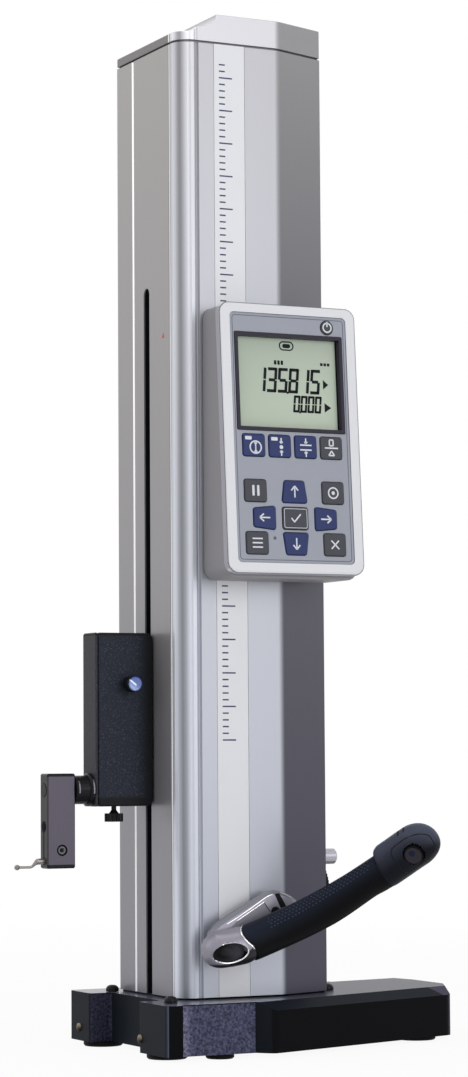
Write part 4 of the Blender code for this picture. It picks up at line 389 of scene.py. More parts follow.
def castPaint(name, look):  # smooth painted faces round a coarse cast front; the smooth faces carry painted light and shade by where they face, a painted glint and painted highlights
    paint, where, grit = begin(name, look)
    across, depth, height = paint.split(where, "XYZ")
    faceX, faceY, faceZ = paint.facing("XYZ")
    grit = paint.fade(grit, *look["grainFade"])
    low = height < look["coarseHead"]
    frontFace = (faceY < look["coarseFace"]) * across.within(*look["coarseAcross"]) * low
    blockFace = (faceY < look["blockFace"]) * (depth > look["blockDepth"]) * (across < look["blockRight"]) * low
    coarse = frontFace | blockFace
    # painted light and shade by facing: the edge, a lit facet at the right end, a glint down the corner and a sheen on
    # the top near the column
    edge = paint.fade(faceZ, *look["edgeFace"])
    top = paint.fade(faceZ, *look["topFace"])
    end = (across + height * look["endSlope"]) > look["endStart"]
    cornerGlint = paint.fade(abs(faceX - look["glintFace"]), *look["glintFade"])
    cornerGlint = cornerGlint * (depth < look["glintDepth"]) * (across < look["glintRight"])
    near = paint.fade(across, *look["near"])
    # lit and shaded tones of one black paint by where each face looks
    smooth = paint.mix(paint.fade(faceX * -1, *look["leftFace"]), look["front"], look["left"])
    smooth = paint.mix(paint.fade(faceX, *look["rightFace"]) * low, smooth, look["right"])
    smooth = paint.mix(edge, smooth, look["edge"])
    smooth = paint.mix(edge * end, smooth, look["endFacetLit"])
    smooth = paint.mix(cornerGlint, smooth, look["glint"])
    smooth = paint.mix(top, smooth, paint.mix(near, look["top"], look["topNearSheen"]))
    smooth = smooth * paint.noise(where, look["cloudScale"]).span(*look["cloudTone"])
    # painted highlight on the coarse front near its left corner, and painted shade on the coarse wall in the notch
    pale = paint.fade(across, *look["paleAcross"]) * (depth < look["paleDepth"])
    body = paint.mix(pale, look["coarse"], look["pale"])
    body = body * blockFace.span(1, look["blockShade"]) * grit.span(*look["grainTone"])
    return paint.finish(look, paint.mix(coarse, smooth, body), coarse, grit * (coarse + look["smoothBump"]), {
        "Coat Weight": top * near.span(*look["coatSpan"]), "Coat Roughness": look["coatRough"]})


sliderLook = {
    "colour": rgb(34, 38, 50), "tones": (0.75, 1.25), "speck": rgb(90, 98, 116), "specks": (1300, 1),
    "speckFade": (0.6, 0.72), "speckShare": 0.65, "shade": rgb(17, 18, 21), "shadeAcross": (-0.016, -0.003),
    "head": 0.2688, "foot": (0.1495, 0.1465), "footLeft": -0.046,
    "grain": 1500, "rough": (0.42, 0.62), "gloss": 0.15, "bump": 0.5, "bumpReach": 0.0002,
}
coverLook = dict(sliderLook, colour=rgb(56, 54, 59))


def sliderPaint(name, look):  # speckled paint, with painted shade in the gap to the column and along its top and bottom edges
    paint, where, grit = begin(name, look)
    across, height = paint.split(where, "XZ")
    dust = paint.fade(paint.noise(where, *look["specks"]), *look["speckFade"])
    base = paint.mix(grit, *shades(look["colour"], *look["tones"]))
    base = paint.mix(dust * look["speckShare"], base, look["speck"])
    # painted shade in the gap to the column and on the top and bottom edges
    dim = paint.fade(across, *look["shadeAcross"]) | (height > look["head"])
    dim = dim | (paint.fade(height, *look["foot"]) * (across > look["footLeft"]))
    return paint.finish(look, paint.mix(dim, base, look["shade"]), grit, grit)


rubberBase = {"face": (-0.35, 0.65), "wear": (45, 3), "wearTone": (0.8, 1.2), "grain": 1300, "gloss": 0.06,
              "bump": 0.35, "bumpReach": 0.00015}
rubberLooks = {  # the colour of what faces up is painted light, the colour of what faces down is painted shade
    "gripRubber": {"top": rgb(30, 35, 48), "under": rgb(12, 13, 15), "rough": (0.43, 0.57)},
    "dotRubber": {"top": rgb(64, 73, 92), "under": rgb(40, 45, 56), "rough": (0.38, 0.52)},
    "tipPlastic": {"top": rgb(76, 80, 96), "under": rgb(23, 25, 32), "rough": (0.38, 0.52)},
    "screwHead": {"top": rgb(178, 162, 142), "under": rgb(46, 38, 32), "rough": (0.33, 0.47)},
}


def rubberPaint(name, look):  # worn, painted lighter on what faces up and painted shade on what faces down
    paint, where, grit = begin(name, look)
    faceZ, = paint.facing("Z")
    worn = paint.noise(where, *look["wear"])
    # painted light and shade by facing
    base = paint.mix(paint.fade(faceZ, *look["face"]), look["under"], look["top"])
    return paint.finish(look, base * worn.span(*look["wearTone"]), worn, grit)


bracketLook = {
    "metal": rgb(148, 145, 157), "tones": (0.93, 1.06), "metalShare": 0.3,
    "bevel": rgb(116, 118, 126), "bevelFace": (0.3, 0.6), "bevelDepth": -0.02,
    "under": rgb(20, 22, 27), "underDepth": -0.019, "band": (0.0272, 0.0256), "bandTurn": 0.021, "bandSlope": 0.75,
    "grain": 1000, "rough": (0.3, 0.4), "gloss": 0.3, "bump": 0.1,
}


def bracketPaint(name, look):  # satin metal with a painted shade band along its under side and painted shade on the bevel that faces up
    paint, where, grit = begin(name, look)
    across, depth, height = paint.split(where, "XYZ")
    faceZ, = paint.facing("Z")
    climb = ((across - look["bandTurn"]) | 0) * look["bandSlope"]
    # painted shade band along the under side, where the metal is made dark and not metallic
    under = paint.fade(height - climb, *look["band"]) * (depth < look["underDepth"])
    # painted shade on the bevel that faces up
    bevel = paint.fade(faceZ, *look["bevelFace"]) * (depth > look["bevelDepth"])
    metal = paint.mix(bevel, paint.mix(grit, *shades(look["metal"], *look["tones"])), look["bevel"])
    return paint.finish(look, paint.mix(under, metal, look["under"]), grit, grit, {
        "Metallic": under.span(look["metalShare"], 0)})


blueCapLook = {
    "dark": rgb(24, 60, 132), "light": rgb(136, 152, 200), "lightReach": (0.0015, -0.006), "slant": (0.6, 0.8),
    "highlightStreak": rgb(214, 226, 246), "streakPlace": -0.0006, "streakFade": (0.0009, 0.0003), "streakRight": 0.0005,
    "streakShare": 0.8, "middle": (-0.0214, 0, 0.2325),
    "grain": 1500, "rough": (0.2, 0.3), "metallic": 0.3, "gloss": 0.5, "coat": 0.4, "bump": 0.05,
}


def blueCapPaint(name, look):  # turned face of the cap with painted light: lighter toward the lower left, darker above, and a painted highlight streak
    paint, where, grit = begin(name, look)
    over, up = paint.split(where - look["middle"], "XZ")
    slant = over * look["slant"][0] + up * look["slant"][1]
    base = paint.mix(paint.fade(slant, *look["lightReach"]), look["dark"], look["light"])
    # painted highlight streak across the cap
    highlightStreak = paint.fade(abs(slant - look["streakPlace"]), *look["streakFade"]) * (over < look["streakRight"])
    return paint.finish(look, paint.mix(highlightStreak * look["streakShare"], base, look["highlightStreak"]), grit, grit)


buttonLook = {
    "face": rgb(56, 53, 59), "middle": (0.1331, -0.1112, 0.1053), "rim": rgb(10, 10, 12), "rimReach": (0.0058, 0.0066),
    "spot": rgb(32, 37, 60), "spotMiddle": (0.1323, -0.1108, 0.1071), "spotReach": (0.0028, 0.0022),
    "tone": (0.85, 1.15), "grain": 1300, "rough": (0.35, 0.55), "gloss": 0.06, "bump": 0.3, "bumpReach": 0.0002,
}


def buttonPaint(name, look):  # painted shade: a dark ring at the edge and a dark spot for a small hollow near the middle
    paint, where, grit = begin(name, look)
    base = paint.mix(paint.fade(paint.away(where, look["middle"]), *look["rimReach"]), look["face"], look["rim"])
    base = paint.mix(paint.fade(paint.away(where, look["spotMiddle"]), *look["spotReach"]), base, look["spot"])
    return paint.finish(look, base * grit.span(*look["tone"]), grit, grit)


blockLook = {
    "front": rgb(94, 89, 102), "side": rgb(48, 45, 46), "sideFace": (0.4, 0.9),
    "edge": rgb(16, 15, 18), "edgeFace": -0.9, "head": 0.1636, "foot": 0.0984, "tone": (0.85, 1.15),
    "grain": 1, "stretch": (1500, 1500, 60), "rough": (0.32, 0.48), "metallic": 0.2, "gloss": 0.2, "bump": 0.1,
}


def blockPaint(name, look):  # brushed front between two edges painted dark as shade, with the left side painted darker as shade
    paint, where, brushed = begin(name, look)
    height, = paint.split(where, "Z")
    faceX, = paint.facing("X")
    ends = ((height > look["head"]) | (height < look["foot"])) * (faceX > look["edgeFace"])
    base = paint.mix(paint.fade(faceX * -1, *look["sideFace"]), look["front"], look["side"])
    return paint.finish(look, paint.mix(ends, base, look["edge"]) * brushed.span(*look["tone"]), brushed, brushed)


clampLook = {"metal": rgb(126, 130, 134), "dark": rgb(14, 14, 16), "middle": (-0.0737, 0, 0.109),
             "ring": (0.0015, 0.0028), "tone": (0.85, 1.15), "grain": 1500, "rough": (0.35, 0.55), "gloss": 0.1,
             "bump": 0.2}


def clampPaint(name, look):  # dark ring, pale ring and dark socket
    paint, where, grit = begin(name, look)
    pale = paint.away(where * (1, 0, 1), look["middle"]).within(*look["ring"])
    return paint.finish(look, paint.mix(pale, look["dark"], look["metal"]) * grit.span(*look["tone"]), grit, grit)


ringLook = {"metal": rgb(150, 152, 158), "dark": rgb(18, 19, 23), "places": (-0.0606, -0.0496), "half": 0.0005,
            "face": 0.15, "faceFade": (0.5, 0.25), "tone": (0.85, 1.15), "grain": 1100, "rough": (0.3, 0.46),
            "gloss": 0.15, "bump": 0.15}


def ringPaint(name, look):  # dark turned metal with two fine painted highlight lines round it, shown only where the surface faces about sideways
    paint, where, grit = begin(name, look)
    across, = paint.split(where, "X")
    faceZ, = paint.facing("Z")
    first, second = (across.near(place, look["half"]) for place in look["places"])
    lines = (first | second) * paint.fade(abs(faceZ - look["face"]), *look["faceFade"])
    return paint.finish(look, paint.mix(lines, look["dark"], look["metal"]) * grit.span(*look["tone"]), grit, grit)


dishLook = {"dark": rgb(12, 12, 14), "light": rgb(96, 96, 106), "lightReach": (0.013, 0.036), "lightShare": 0.6,
            "shift": 0.006, "metal": rgb(146, 143, 155), "metalRight": 0.0085, "grain": 130, "detail": 3,
            "rough": (0.35, 0.55), "gloss": 0.1, "bump": 0.3, "bumpReach": 0.0004}


def dishPaint(name, look):  # dark hollow end of the grip, greyer toward the sleeve
    paint, where, clouds = begin(name, look)
    across, = paint.split(where, "X")
    share = paint.fade(across + (clouds - 0.5) * look["shift"], *look["lightReach"]) * look["lightShare"]
    base = paint.mix(share, look["dark"], look["light"])
    return paint.finish(look, paint.mix(across < look["metalRight"], base, look["metal"]), clouds, clouds)


glassLook = {"lit": rgb(204, 216, 198), "dim": rgb(186, 199, 183), "slant": (-0.3, 0.7), "dimReach": (0.26, 0.33),
             "frame": rgb(20, 21, 28), "frameRight": 0.1162, "grainShare": 0.2, "grain": 1800, "detail": 1,
             "rough": (0.25, 0.3), "gloss": 0.15}


def glassPaint(name, look):
    paint, where, grit = begin(name, look)
    across, height = paint.split(where, "XZ")
    # lit and dim are painted light and shade across the glass
    slope = paint.fade(across * look["slant"][0] + height * look["slant"][1], *look["dimReach"])
    base = paint.mix(slope * (1 - look["grainShare"]) + grit * look["grainShare"], look["lit"], look["dim"])
    return paint.finish(look, paint.mix(across > look["frameRight"], base, look["frame"]), grit, grit)


shellLook = {"front": rgb(236, 237, 242), "side": rgb(176, 174, 184), "sideFace": (0.6, 0.95),
             "line": rgb(120, 118, 128), "lineStart": (0.42, 0.5), "lineEnd": (0.62, 0.54), "lineShare": 0.6,
             "tone": (0.97, 1.03), "grain": 1300, "rough": (0.28, 0.42), "gloss": 0.3, "bump": 0.05}


def shellPaint(name, look):  # pale front, with sides painted greyer as shade and a thin darker line of painted shade where the edge turns
    paint, where, grit = begin(name, look)
    faceX, faceZ = paint.facing("XZ")
    sideways = abs(faceX) | abs(faceZ)
    line = paint.fade(sideways, *look["lineStart"]) * paint.fade(sideways, *look["lineEnd"])
    base = paint.mix(paint.fade(sideways, *look["sideFace"]), look["front"], look["side"])
    base = paint.mix(line * look["lineShare"], base, look["line"])
    return paint.finish(look, base * grit.span(*look["tone"]), grit, grit)


finishes = [(name, satinPaint, {**satinBase, **dict(zip(satinColumns, row))}) for name, row in satinLooks.items()]
finishes += [(name, rubberPaint, {**rubberBase, **look}) for name, look in rubberLooks.items()]
finishes += [
    ("columnSatin", columnPaint, columnLook), ("capSatin", columnPaint, capLook), ("castPaint", castPaint, castLook),
    ("sliderPaint", sliderPaint, sliderLook), ("coverPaint", sliderPaint, coverLook),
    ("buttonPlastic", buttonPaint, buttonLook), ("bracketMetal", bracketPaint, bracketLook),
    ("lcdGlass", glassPaint, glassLook), ("shellPaint", shellPaint, shellLook), ("blockMetal", blockPaint, blockLook),
    ("clampScrew", clampPaint, clampLook), ("turnedDark", ringPaint, ringLook), ("blueCap", blueCapPaint, blueCapLook),
    ("dishDark", dishPaint, dishLook),
]
paints = {name: kind(name, look) for name, kind, look in finishes}

nodePaints = {
    "columnSatin": ("column_shell",),
    "capSatin": ("top_cap",),
    "stripFilm": ("front_strip",),
    "castPaint": ("base_casting",),
    "sliderPaint": ("slider_housing",),
    "coverPaint": ("slider_cover",),
    "gripRubber": ("grip_sleeve",),
    "tipPlastic": ("grip_tip",),
    "buttonPlastic": ("air_button",),
    "bracketMetal": ("grip_bracket",),
    "lcdGlass": ("lcd_module",),
    "shellPaint": ("display_shell",),
    "housingPaint": ("display_housing",),
    "panelFilm": ("keypad_panel",),
    "bezelPlastic": ("lcd_bezel",),
    "keyNavy": ("key_mode_1", "key_mode_2", "key_mode_3", "key_arrow_up", "key_arrow_down", "key_arrow_left",
                "key_arrow_right"),
    "keyGrey": ("key_mode_4", "key_upper_left", "key_upper_right", "key_lower_left", "key_lower_right", "key_enter",
                "key_power"),
    "darkPlastic": ("dome_screw_near", "dome_screw_left", "dome_screw_right", "thumb_screw", "lock_knob", "bay_cover",
                    "air_pump", "reading_head", "handwheel"),
    "turnedDark": ("probe_collar", "probe_shaft"),
    "blockMetal": ("probe_block",),
    "clampScrew": ("stylus_clamp_screw",),
    "stylusMetal": ("stylus",),
    "brightSteel": ("guide_rail", "drive_shaft", "counterweight"),
    "blueCap": ("lock_knob_cap",),
    "dishDark": ("lobe_cap",),
    "paleMetal": ("side_knob", "scale_bar", "idler_pulley"),
    "greyMetal": ("carriage", "idler_bracket", "battery_pack"),
    "beltSteel": ("drive_belt",),
    "boardGreen": ("display_board",),
    "padRubber": ("base_pad_near", "base_pad_left", "base_pad_right", "base_pad_front"),
}
for paintName, members in nodePaints.items():
    for member in members:
        nodes[member].data.materials.clear()
        nodes[member].data.materials.append(paints[paintName])
print("nodes painted")


# Shapes: everything below is drawn on a plane, a matrix whose X and Y run over it and whose Z stands out of it

def planeAt(origin, right, up):
    right, up = Vector(right).normalized(), Vector(up).normalized()
    return Matrix.Translation(origin) @ Matrix((right, up, right.cross(up))).transposed().to_4x4()


def newPiece(name, build, paint, smooth=35, body="stand"):
    bmesh.ops.recalc_face_normals(build, faces=build.faces)
    mesh = bpy.data.meshes.new(name)
    build.to_mesh(mesh)
    build.free()
    mesh.materials.append(paints[paint])
    mesh.shade_smooth()
    mesh.set_sharp_from_angle(angle=math.radians(smooth))
    piece = bpy.data.objects.new(name, mesh)
    bpy.context.scene.collection.objects.link(piece)
    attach(piece, body)
    return piece


def circle(radius, centre=(0, 0), sides=24):
    return [Vector(centre) + Vector((math.cos(turn), math.sin(turn))) * radius for turn in turns(sides)]


def roundedBox(width, height, radius, centre=(0, 0), steps=5):
    outline = []
    for cornerX, cornerY, start in ((1, -1, -90), (1, 1, 0), (-1, 1, 90), (-1, -1, 180)):
        middle = Vector((centre[0] + cornerX * (width / 2 - radius), centre[1] + cornerY * (height / 2 - radius)))
        for step in range(steps + 1):
            turn = math.radians(start + 90 * step / steps)
            outline.append(middle + Vector((math.cos(turn), math.sin(turn))) * radius)
    return outline


# Skin from each ring of points to the next one; a closed row of rings has no ends
def skin(build, rings, closed=False):
    loops = [[build.verts.new(point) for point in ring] for ring in rings]
    for first, second in zip(loops, loops[1:] + loops[:1] if closed else loops[1:]):
        for index in range(len(first)):
            after = (index + 1) % len(first)
            build.faces.new((first[index], first[after], second[after], second[index]))
    if not closed:
        build.faces.new(loops[0])
        build.faces.new(loops[-1])


# Skin over outlines at levels over the plane, all in millimetres
def layers(build, plane, rows, closed=False):
    skin(build, [[plane @ (Vector((*point, level)) / 1000) for point in outline] for outline, level in rows], closed)


def plate(build, plane, outline, low, high):
    layers(build, plane, ((outline, low), (outline, high)))


def hoop(build, plane, outer, inner, low, high):
    layers(build, plane, ((outer, low), (outer, high), (inner, high), (inner, low)), True)


def stroke(build, plane, start, end, width, low, high):
    start, end = Vector(start), Vector(end)
    run = (end - start).normalized()
    side = Vector((-run.y, run.x)) * width / 2
    plate(build, plane, (start - side, end - side, end + side, start + side), low, high)


def turned(build, plane, profile, sides):  # the profile is (radius, level)
    layers(build, plane, [(circle(radius, sides=sides), level) for radius, level in profile])


# Round wire along a line of points, closed into a ring or with capped ends
def tube(build, points, radius, sides=10, ring=False):
    count = len(points)
    loops = []
    side = None
    for index, point in enumerate(points):
        before = points[index - 1] if ring or index else point
        after = points[(index + 1) % count] if ring or index < count - 1 else point
        run = (after - before).normalized()
        side = (side - run * side.dot(run)).normalized() if side else run.orthogonal().normalized()
        up = run.cross(side)
        loops.append([point + side * radius * math.cos(turn) + up * radius * math.sin(turn) for turn in turns(sides)])
    skin(build, loops, ring)


# Printed marks on the column, a little proud of it and sunk into it

frontPlane = planeAt(foot, (1, 0, 0), (0, 0, 1))
printLevels = (-0.2, 0.06)
stripLook = {"left": 34.5, "low": 190, "high": 705, "step": 5, "every": 5, "short": 5, "long": 11, "thick": 1.1}


def makeStripMarks():
    build = bmesh.new()
    for count, height in enumerate(range(stripLook["low"], stripLook["high"], stripLook["step"])):
        reach = stripLook["short"] if count % stripLook["every"] else stripLook["long"]
        stroke(build, frontPlane, (stripLook["left"], height), (stripLook["left"] + reach, height), stripLook["thick"],
               *printLevels)
    newPiece("strip_marks", build, "navyInk")


indexLook = {"place": (0, 28, 495.5), "half": 2.3, "top": 0.69}


def makeIndexMark():
    plane = planeAt(at(*indexLook["place"]), (0, -1, 0), (0, 0, 1))
    half = indexLook["half"]
    build = bmesh.new()
    plate(build, plane, ((-half, -half), (half, -half), (indexLook["top"], half)), *printLevels)
    newPiece("index_mark", build, "redInk")


makeStripMarks()
makeIndexMark()
print("column marks made")


# Display: everything lies on the display's tilted front plane

displayLook = {"place": (74.5, -39.2, 412.5), "tilt": 3.8}
tilt = math.radians(displayLook["tilt"])
displayPlane = planeAt(at(*displayLook["place"]), (1, 0, 0), (0, math.sin(tilt), math.cos(tilt)))

# Fine lines round the rim of the shell and round the panel
edgeLooks = {
    "shell_line": {"width": 113.8, "height": 202.7, "radius": 8.15, "middle": 0.9, "thick": 0.5,
                   "levels": (-1.52, -0.62), "steps": 8},
    "panel_line": {"width": 93.6, "height": 183.6, "radius": 2.6, "middle": 1.2, "thick": 0.55,
                   "levels": (-0.8, -0.52), "steps": 5},
}
lampLook = {"place": (-17.5, -74, 0), "profile": ((1.3, -0.9), (1.3, -0.55), (1.0, -0.4)), "sides": 16}


def makeEdgeLine(name, look):
    build = bmesh.new()
    outlines = [roundedBox(look["width"] - 2 * inward, look["height"] - 2 * inward, look["radius"] - inward,
                           (0, look["middle"]), look["steps"]) for inward in (0, look["thick"])]
    hoop(build, displayPlane, *outlines, *look["levels"])
    newPiece(name, build, "lineInk")


def makeStatusLamp():
    build = bmesh.new()
    turned(build, displayPlane @ Matrix.Translation(Vector(lampLook["place"]) / 1000), lampLook["profile"],
           lampLook["sides"])
    newPiece("status_lamp", build, "lineInk")


# Seven bars of a numeral by name, on a box of width 1 and height 2
numeralBars = {
    "a": ((0, 2), (1, 2)), "b": ((1, 2), (1, 1)), "c": ((1, 1), (1, 0)), "d": ((0, 0), (1, 0)),
    "e": ((0, 1), (0, 0)), "f": ((0, 2), (0, 1)), "g": ((0, 1), (1, 1)),
}
numerals = {"0": "abcdef", "1": "bc", "3": "abcdg", "5": "acdfg", "8": "abcdefg"}

readingLook = {
    "levels": (-5.7, -5.5),
    "slant": 0.1,
    "gaps": (-0.3, 0.16, -0.3),  # from a bar's end to its place, in stroke widths: foot, middle and head
    "pointRadius": 0.2,
    "lines": (
        {"text": "135.815", "right": 29.2, "low": 37.6, "height": 16.6, "width": 6.0, "pitch": 9.1, "thick": 2.3,
         "point": 1.7},
        {"text": "0.000", "right": 29.3, "low": 22.9, "height": 11.2, "width": 3.8, "pitch": 6.0, "thick": 1.75,
         "point": 1.4},
    ),
}


def drawNumeral(build, name, left, line):
    for bar in numerals[name]:
        ends = []
        for x, y in numeralBars[bar]:
            rise = y * line["height"] / 2
            ends.append(Vector((left + x * line["width"] + rise * readingLook["slant"], line["low"] + rise)))
        run = (ends[1] - ends[0]).normalized() * line["thick"]
        first, last = (readingLook["gaps"][y] for x, y in numeralBars[bar])
        stroke(build, displayPlane, ends[0] + run * first, ends[1] - run * last, line["thick"],
               *readingLook["levels"])


def makeReading():
    build = bmesh.new()
    for line in readingLook["lines"]:
        left = line["right"] - line["pitch"] * (len(line["text"]) - 1)
        for part in line["text"]:
            if part == ".":
                place = (left - (line["pitch"] - line["width"]) / 2, line["low"] - line["point"] / 2)
                point = roundedBox(line["point"], line["point"], readingLook["pointRadius"], place, 1)
                plate(build, displayPlane, point, *readingLook["levels"])
            else:
                drawNumeral(build, part, left, line)
                left += line["pitch"]
    newPiece("reading", build, "blackInk")


# Marks round the reading: an oval with a dot, two rows of blocks and two small flags
markLook = {
    "oval": (0.6, 72.2), "ovalSize": (12.4, 7.2), "ovalRadius": 3.5, "ovalLine": 1.0, "dotSize": (6.6, 3.2),
    "dotRadius": 1.5, "blockRadius": 0.3,
    "rows": (((-9.2, -6.4, -3.6), 59.3, 2.0, 3.2), ((29.9, 32.8, 35.7), 59.6, 2.2, 2.2)),
    "flags": ((30.6, 40.6, 4.4, 7.2), (31.2, 23.0, 5.6, 7.2)),
}


def makeReadingMarks():
    levels = readingLook["levels"]
    width, height = markLook["ovalSize"]
    radius, line = markLook["ovalRadius"], markLook["ovalLine"]
    build = bmesh.new()
    hoop(build, displayPlane, roundedBox(width, height, radius, markLook["oval"]),
         roundedBox(width - 2 * line, height - 2 * line, radius - line, markLook["oval"]), *levels)
    plate(build, displayPlane, roundedBox(*markLook["dotSize"], markLook["dotRadius"], markLook["oval"]), *levels)
    for places, z, wide, tall in markLook["rows"]:
        for x in places:
            plate(build, displayPlane, roundedBox(wide, tall, markLook["blockRadius"], (x, z), 2), *levels)
    for x, z, wide, tall in markLook["flags"]:
        plate(build, displayPlane, ((x, z), (x + wide, z + tall / 2), (x, z + tall)), *levels)
    newPiece("reading_marks", build, "blackInk")


for edgeName, edgeLook in edgeLooks.items():
    makeEdgeLine(edgeName, edgeLook)
makeStatusLamp()
makeReading()
makeReadingMarks()
print("display made")


# Key legends: strokes, rings, discs and plates in millimetres round the key's middle
legendLook = {"levels": (0.2, 0.47), "width": 1.08, "plateRadius": 0.5, "headAngle": 40, "headGap": 0.3,
              "bigArrow": (8.6, 4.4), "ways": {"up": 90, "down": -90, "left": 180, "right": 0},
              "frames": {"key_enter": ((19.2, 14.6, 1.4), (18.4, 13.8, 1.1))}}


def path(*points):
    return [("line", start, end) for start, end in zip(points, points[1:])]


def arrow(x, y, angle, length, head=1.8):
    turn = math.radians(angle)
    middle, run = Vector((x, y)), Vector((math.cos(turn), math.sin(turn)))
    tip = middle + run * length / 2
    marks = path(middle - run * length / 2, tip - run * legendLook["headGap"])
    for lean in (-1, 1):
        marks += path(tip, tip + Matrix.Rotation(lean * math.radians(legendLook["headAngle"]), 2) @ (run * -head))
    return marks


legends = {
    "key_mode_1": [("plate", (-4.6, 5.2), (5.4, 2.6)), ("ring", (1.2, -1.6), 4.6)]
    + arrow(1.2, 0.2, 90, 4.6) + arrow(1.2, -3.4, -90, 4.6),
    "key_mode_2": [("plate", (-4.6, 5.2), (5.4, 2.6)), ("disc", (1.0, -0.8), 1.5)]
    + arrow(1.0, 4.0, -90, 4.0) + arrow(1.0, -5.4, 90, 4.0),
    "key_mode_3": path((-4.8, 1.4), (4.8, 1.4)) + path((-4.8, -2.2), (4.8, -2.2))
    + arrow(0, 4.6, -90, 4.0) + arrow(0, -5.4, 90, 4.0),
    "key_mode_4": path((-1.6, 6.2), (-1.6, 1.8), (1.6, 1.8), (1.6, 6.2), (-1.6, 6.2)) + path((-5.6, 0), (5.6, 0))
    + path((2.4, -5.6), (-2.4, -5.6), (0, -2.2), (2.4, -5.6)),
    "key_upper_left": [("plate", (-2.0, 0), (1.9, 8.0)), ("plate", (2.0, 0), (1.9, 8.0))],
    "key_upper_right": [("ring", (0, 0), 4.0), ("disc", (0, 0), 1.4)],
    "key_lower_left": path((-4.2, 3.2), (4.2, 3.2)) + path((-4.2, 0), (4.2, 0)) + path((-4.2, -3.2), (4.2, -3.2)),
    "key_lower_right": path((-3.2, -3.2), (3.2, 3.2)) + path((-3.2, 3.2), (3.2, -3.2)),
    "key_enter": path((-3.6, 0.2), (-1.0, -2.8)) + path((-1.2, -2.8), (4.2, 3.2)),
}
for way, angle in legendLook["ways"].items():
    legends["key_arrow_" + way] = arrow(0, 0, angle, *legendLook["bigArrow"])
legends["key_power"] = [("ring", (0, 0), 3.4)] + path((0, 0.6), (0, 4.6))


def makeLegends():
    levels, width = legendLook["levels"], legendLook["width"]
    inward = displayPlane.inverted()
    for key, marks in legends.items():
        middle = inward @ (sum(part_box(key), Vector()) / 2)
        plane = displayPlane @ Matrix.Translation((middle.x, middle.y, 0))
        build = bmesh.new()
        for kind, place, size in marks:
            if kind == "line":
                stroke(build, plane, place, size, width, *levels)
            elif kind == "ring":
                hoop(build, plane, circle(size + width / 2, place), circle(size - width / 2, place), *levels)
            elif kind == "disc":
                plate(build, plane, circle(size, place), *levels)
            else:
                plate(build, plane, roundedBox(*size, legendLook["plateRadius"], place, 2), *levels)
        if key in legendLook["frames"]:
            hoop(build, plane, *(roundedBox(*size) for size in legendLook["frames"][key]), *levels)
        newPiece(key + "_legend", build, "legendWhite", body=key + "_body")


makeLegends()
print("key legends made")


# Grip: one middle line runs through the lobe at its root, the sleeve and the tip
gripLook = {
    "lobe": ((4.2, -24.0, 37.8), (16.0, -26.2, 37.2), (28.0, -28.5, 38.5)),
    "line": ((40.1, -30.0, 41.2), (61.2, -34.0, 49.5), (85.5, -45.0, 61.7), (107.4, -62.0, 76.8),
             (123.8, -78.0, 91.1), (132.4, -88.0, 99.6), (142.3, -101.8, 110.3), (151.1, -115.6, 118.7)),
    "steps": 6,
    "lifts": ((60, 0), (100, 2.1), (110, 1.3), (120, 0.7), (170, 0.6)),  # reach and rise of the under side
    "sides": 96,
    # Angle and shift of the wavy joint between lobe and sleeve
    "neck": ((-180, 2.0), (-42, 2.2), (-26, 1.9), (-10, 1.8), (8, -1.1), (24, -3.4), (44, -4.6), (66, -2.7), (94, 2.3),
             (120, 3.0), (180, 2.0)),
    "neckFade": 16.0,
    "rimSides": 64,
}


def smoothLine(points, steps=gripLook["steps"]):
    knots = [Vector(point) for point in points]
    knots = [2 * knots[0] - knots[1]] + knots + [2 * knots[-1] - knots[-2]]
    smooth = []
    for index in range(1, len(knots) - 2):
        a, b, c, d = knots[index - 1:index + 3]
        for step in range(steps):
            t = step / steps
            smooth.append((2 * b + (c - a) * t + (2 * a - 5 * b + 4 * c - d) * t * t
                           + (3 * b - a - 3 * c + d) * t ** 3) / 2)
    smooth.append(knots[-2])
    return smooth


gripLine = smoothLine(gripLook["lobe"] + gripLook["line"])
gripLengths = [(after - before).length for before, after in zip(gripLine, gripLine[1:])]
lobeSteps = gripLook["steps"] * len(gripLook["lobe"])
lobeReach = sum(gripLengths[:lobeSteps])  # millimetres of the line that lie in the lobe
gripReach = sum(gripLengths) - lobeReach


# Point of the grip's oval skin at a reach from the sleeve's root and an angle up from its front
def onGrip(reach, angle, depth, height, rise=0, proud=0, square=1):
    left = reach + lobeReach
    index = 0
    while index < len(gripLengths) - 1 and left > gripLengths[index]:
        left -= gripLengths[index]
        index += 1
    middle = gripLine[index].lerp(gripLine[index + 1], left / gripLengths[index])
    run = (gripLine[min(index + 2, len(gripLine) - 1)] - gripLine[max(index - 1, 0)]).normalized()
    side = run.cross(Vector((0, 0, 1))).normalized()
    up = side.cross(run)
    turn = math.radians(angle)
    over, rising = (math.copysign(abs(part) ** square, part) for part in (math.cos(turn), math.sin(turn)))
    out = (side * over / depth + up * rising / height).normalized()
    point = middle + up * rise + side * depth * over + up * height * rising
    return at(*(point + out * proud)), out, run


def between(table, place, soft):  # value of a table of places and values, 0 outside it
    for (near, low), (far, high) in zip(table, table[1:]):
        if near < place <= far:
            share = (place - near) / (far - near)
            return low + (high - low) * (share * share * (3 - 2 * share) if soft else share)
    return 0.0


def lift(reach):  # half of what the under side rises by, in millimetres
    return between(gripLook["lifts"], reach, True) / 2


neckTable = [point[:2] for point in smoothLine([(angle, shift, 0) for angle, shift in gripLook["neck"]])]


def oval(reach, depth, height, rise=0, neck=0):  # ring of the grip, shifted by its share of the neck's shifts
    points = []
    for side in range(gripLook["sides"]):
        angle = 360 * side / gripLook["sides"]
        shift = between(neckTable, angle if angle <= 180 else angle - 360, False)
        points.append(onGrip(reach + shift * neck, angle, depth, height, rise)[0])
    return points


sleeveLook = {"depth": 12.2, "height": 13.8, "start": -2.6, "end": 116.4, "roll": 2.2, "rollSteps": 5, "rings": 44,
              "smooth": 50}


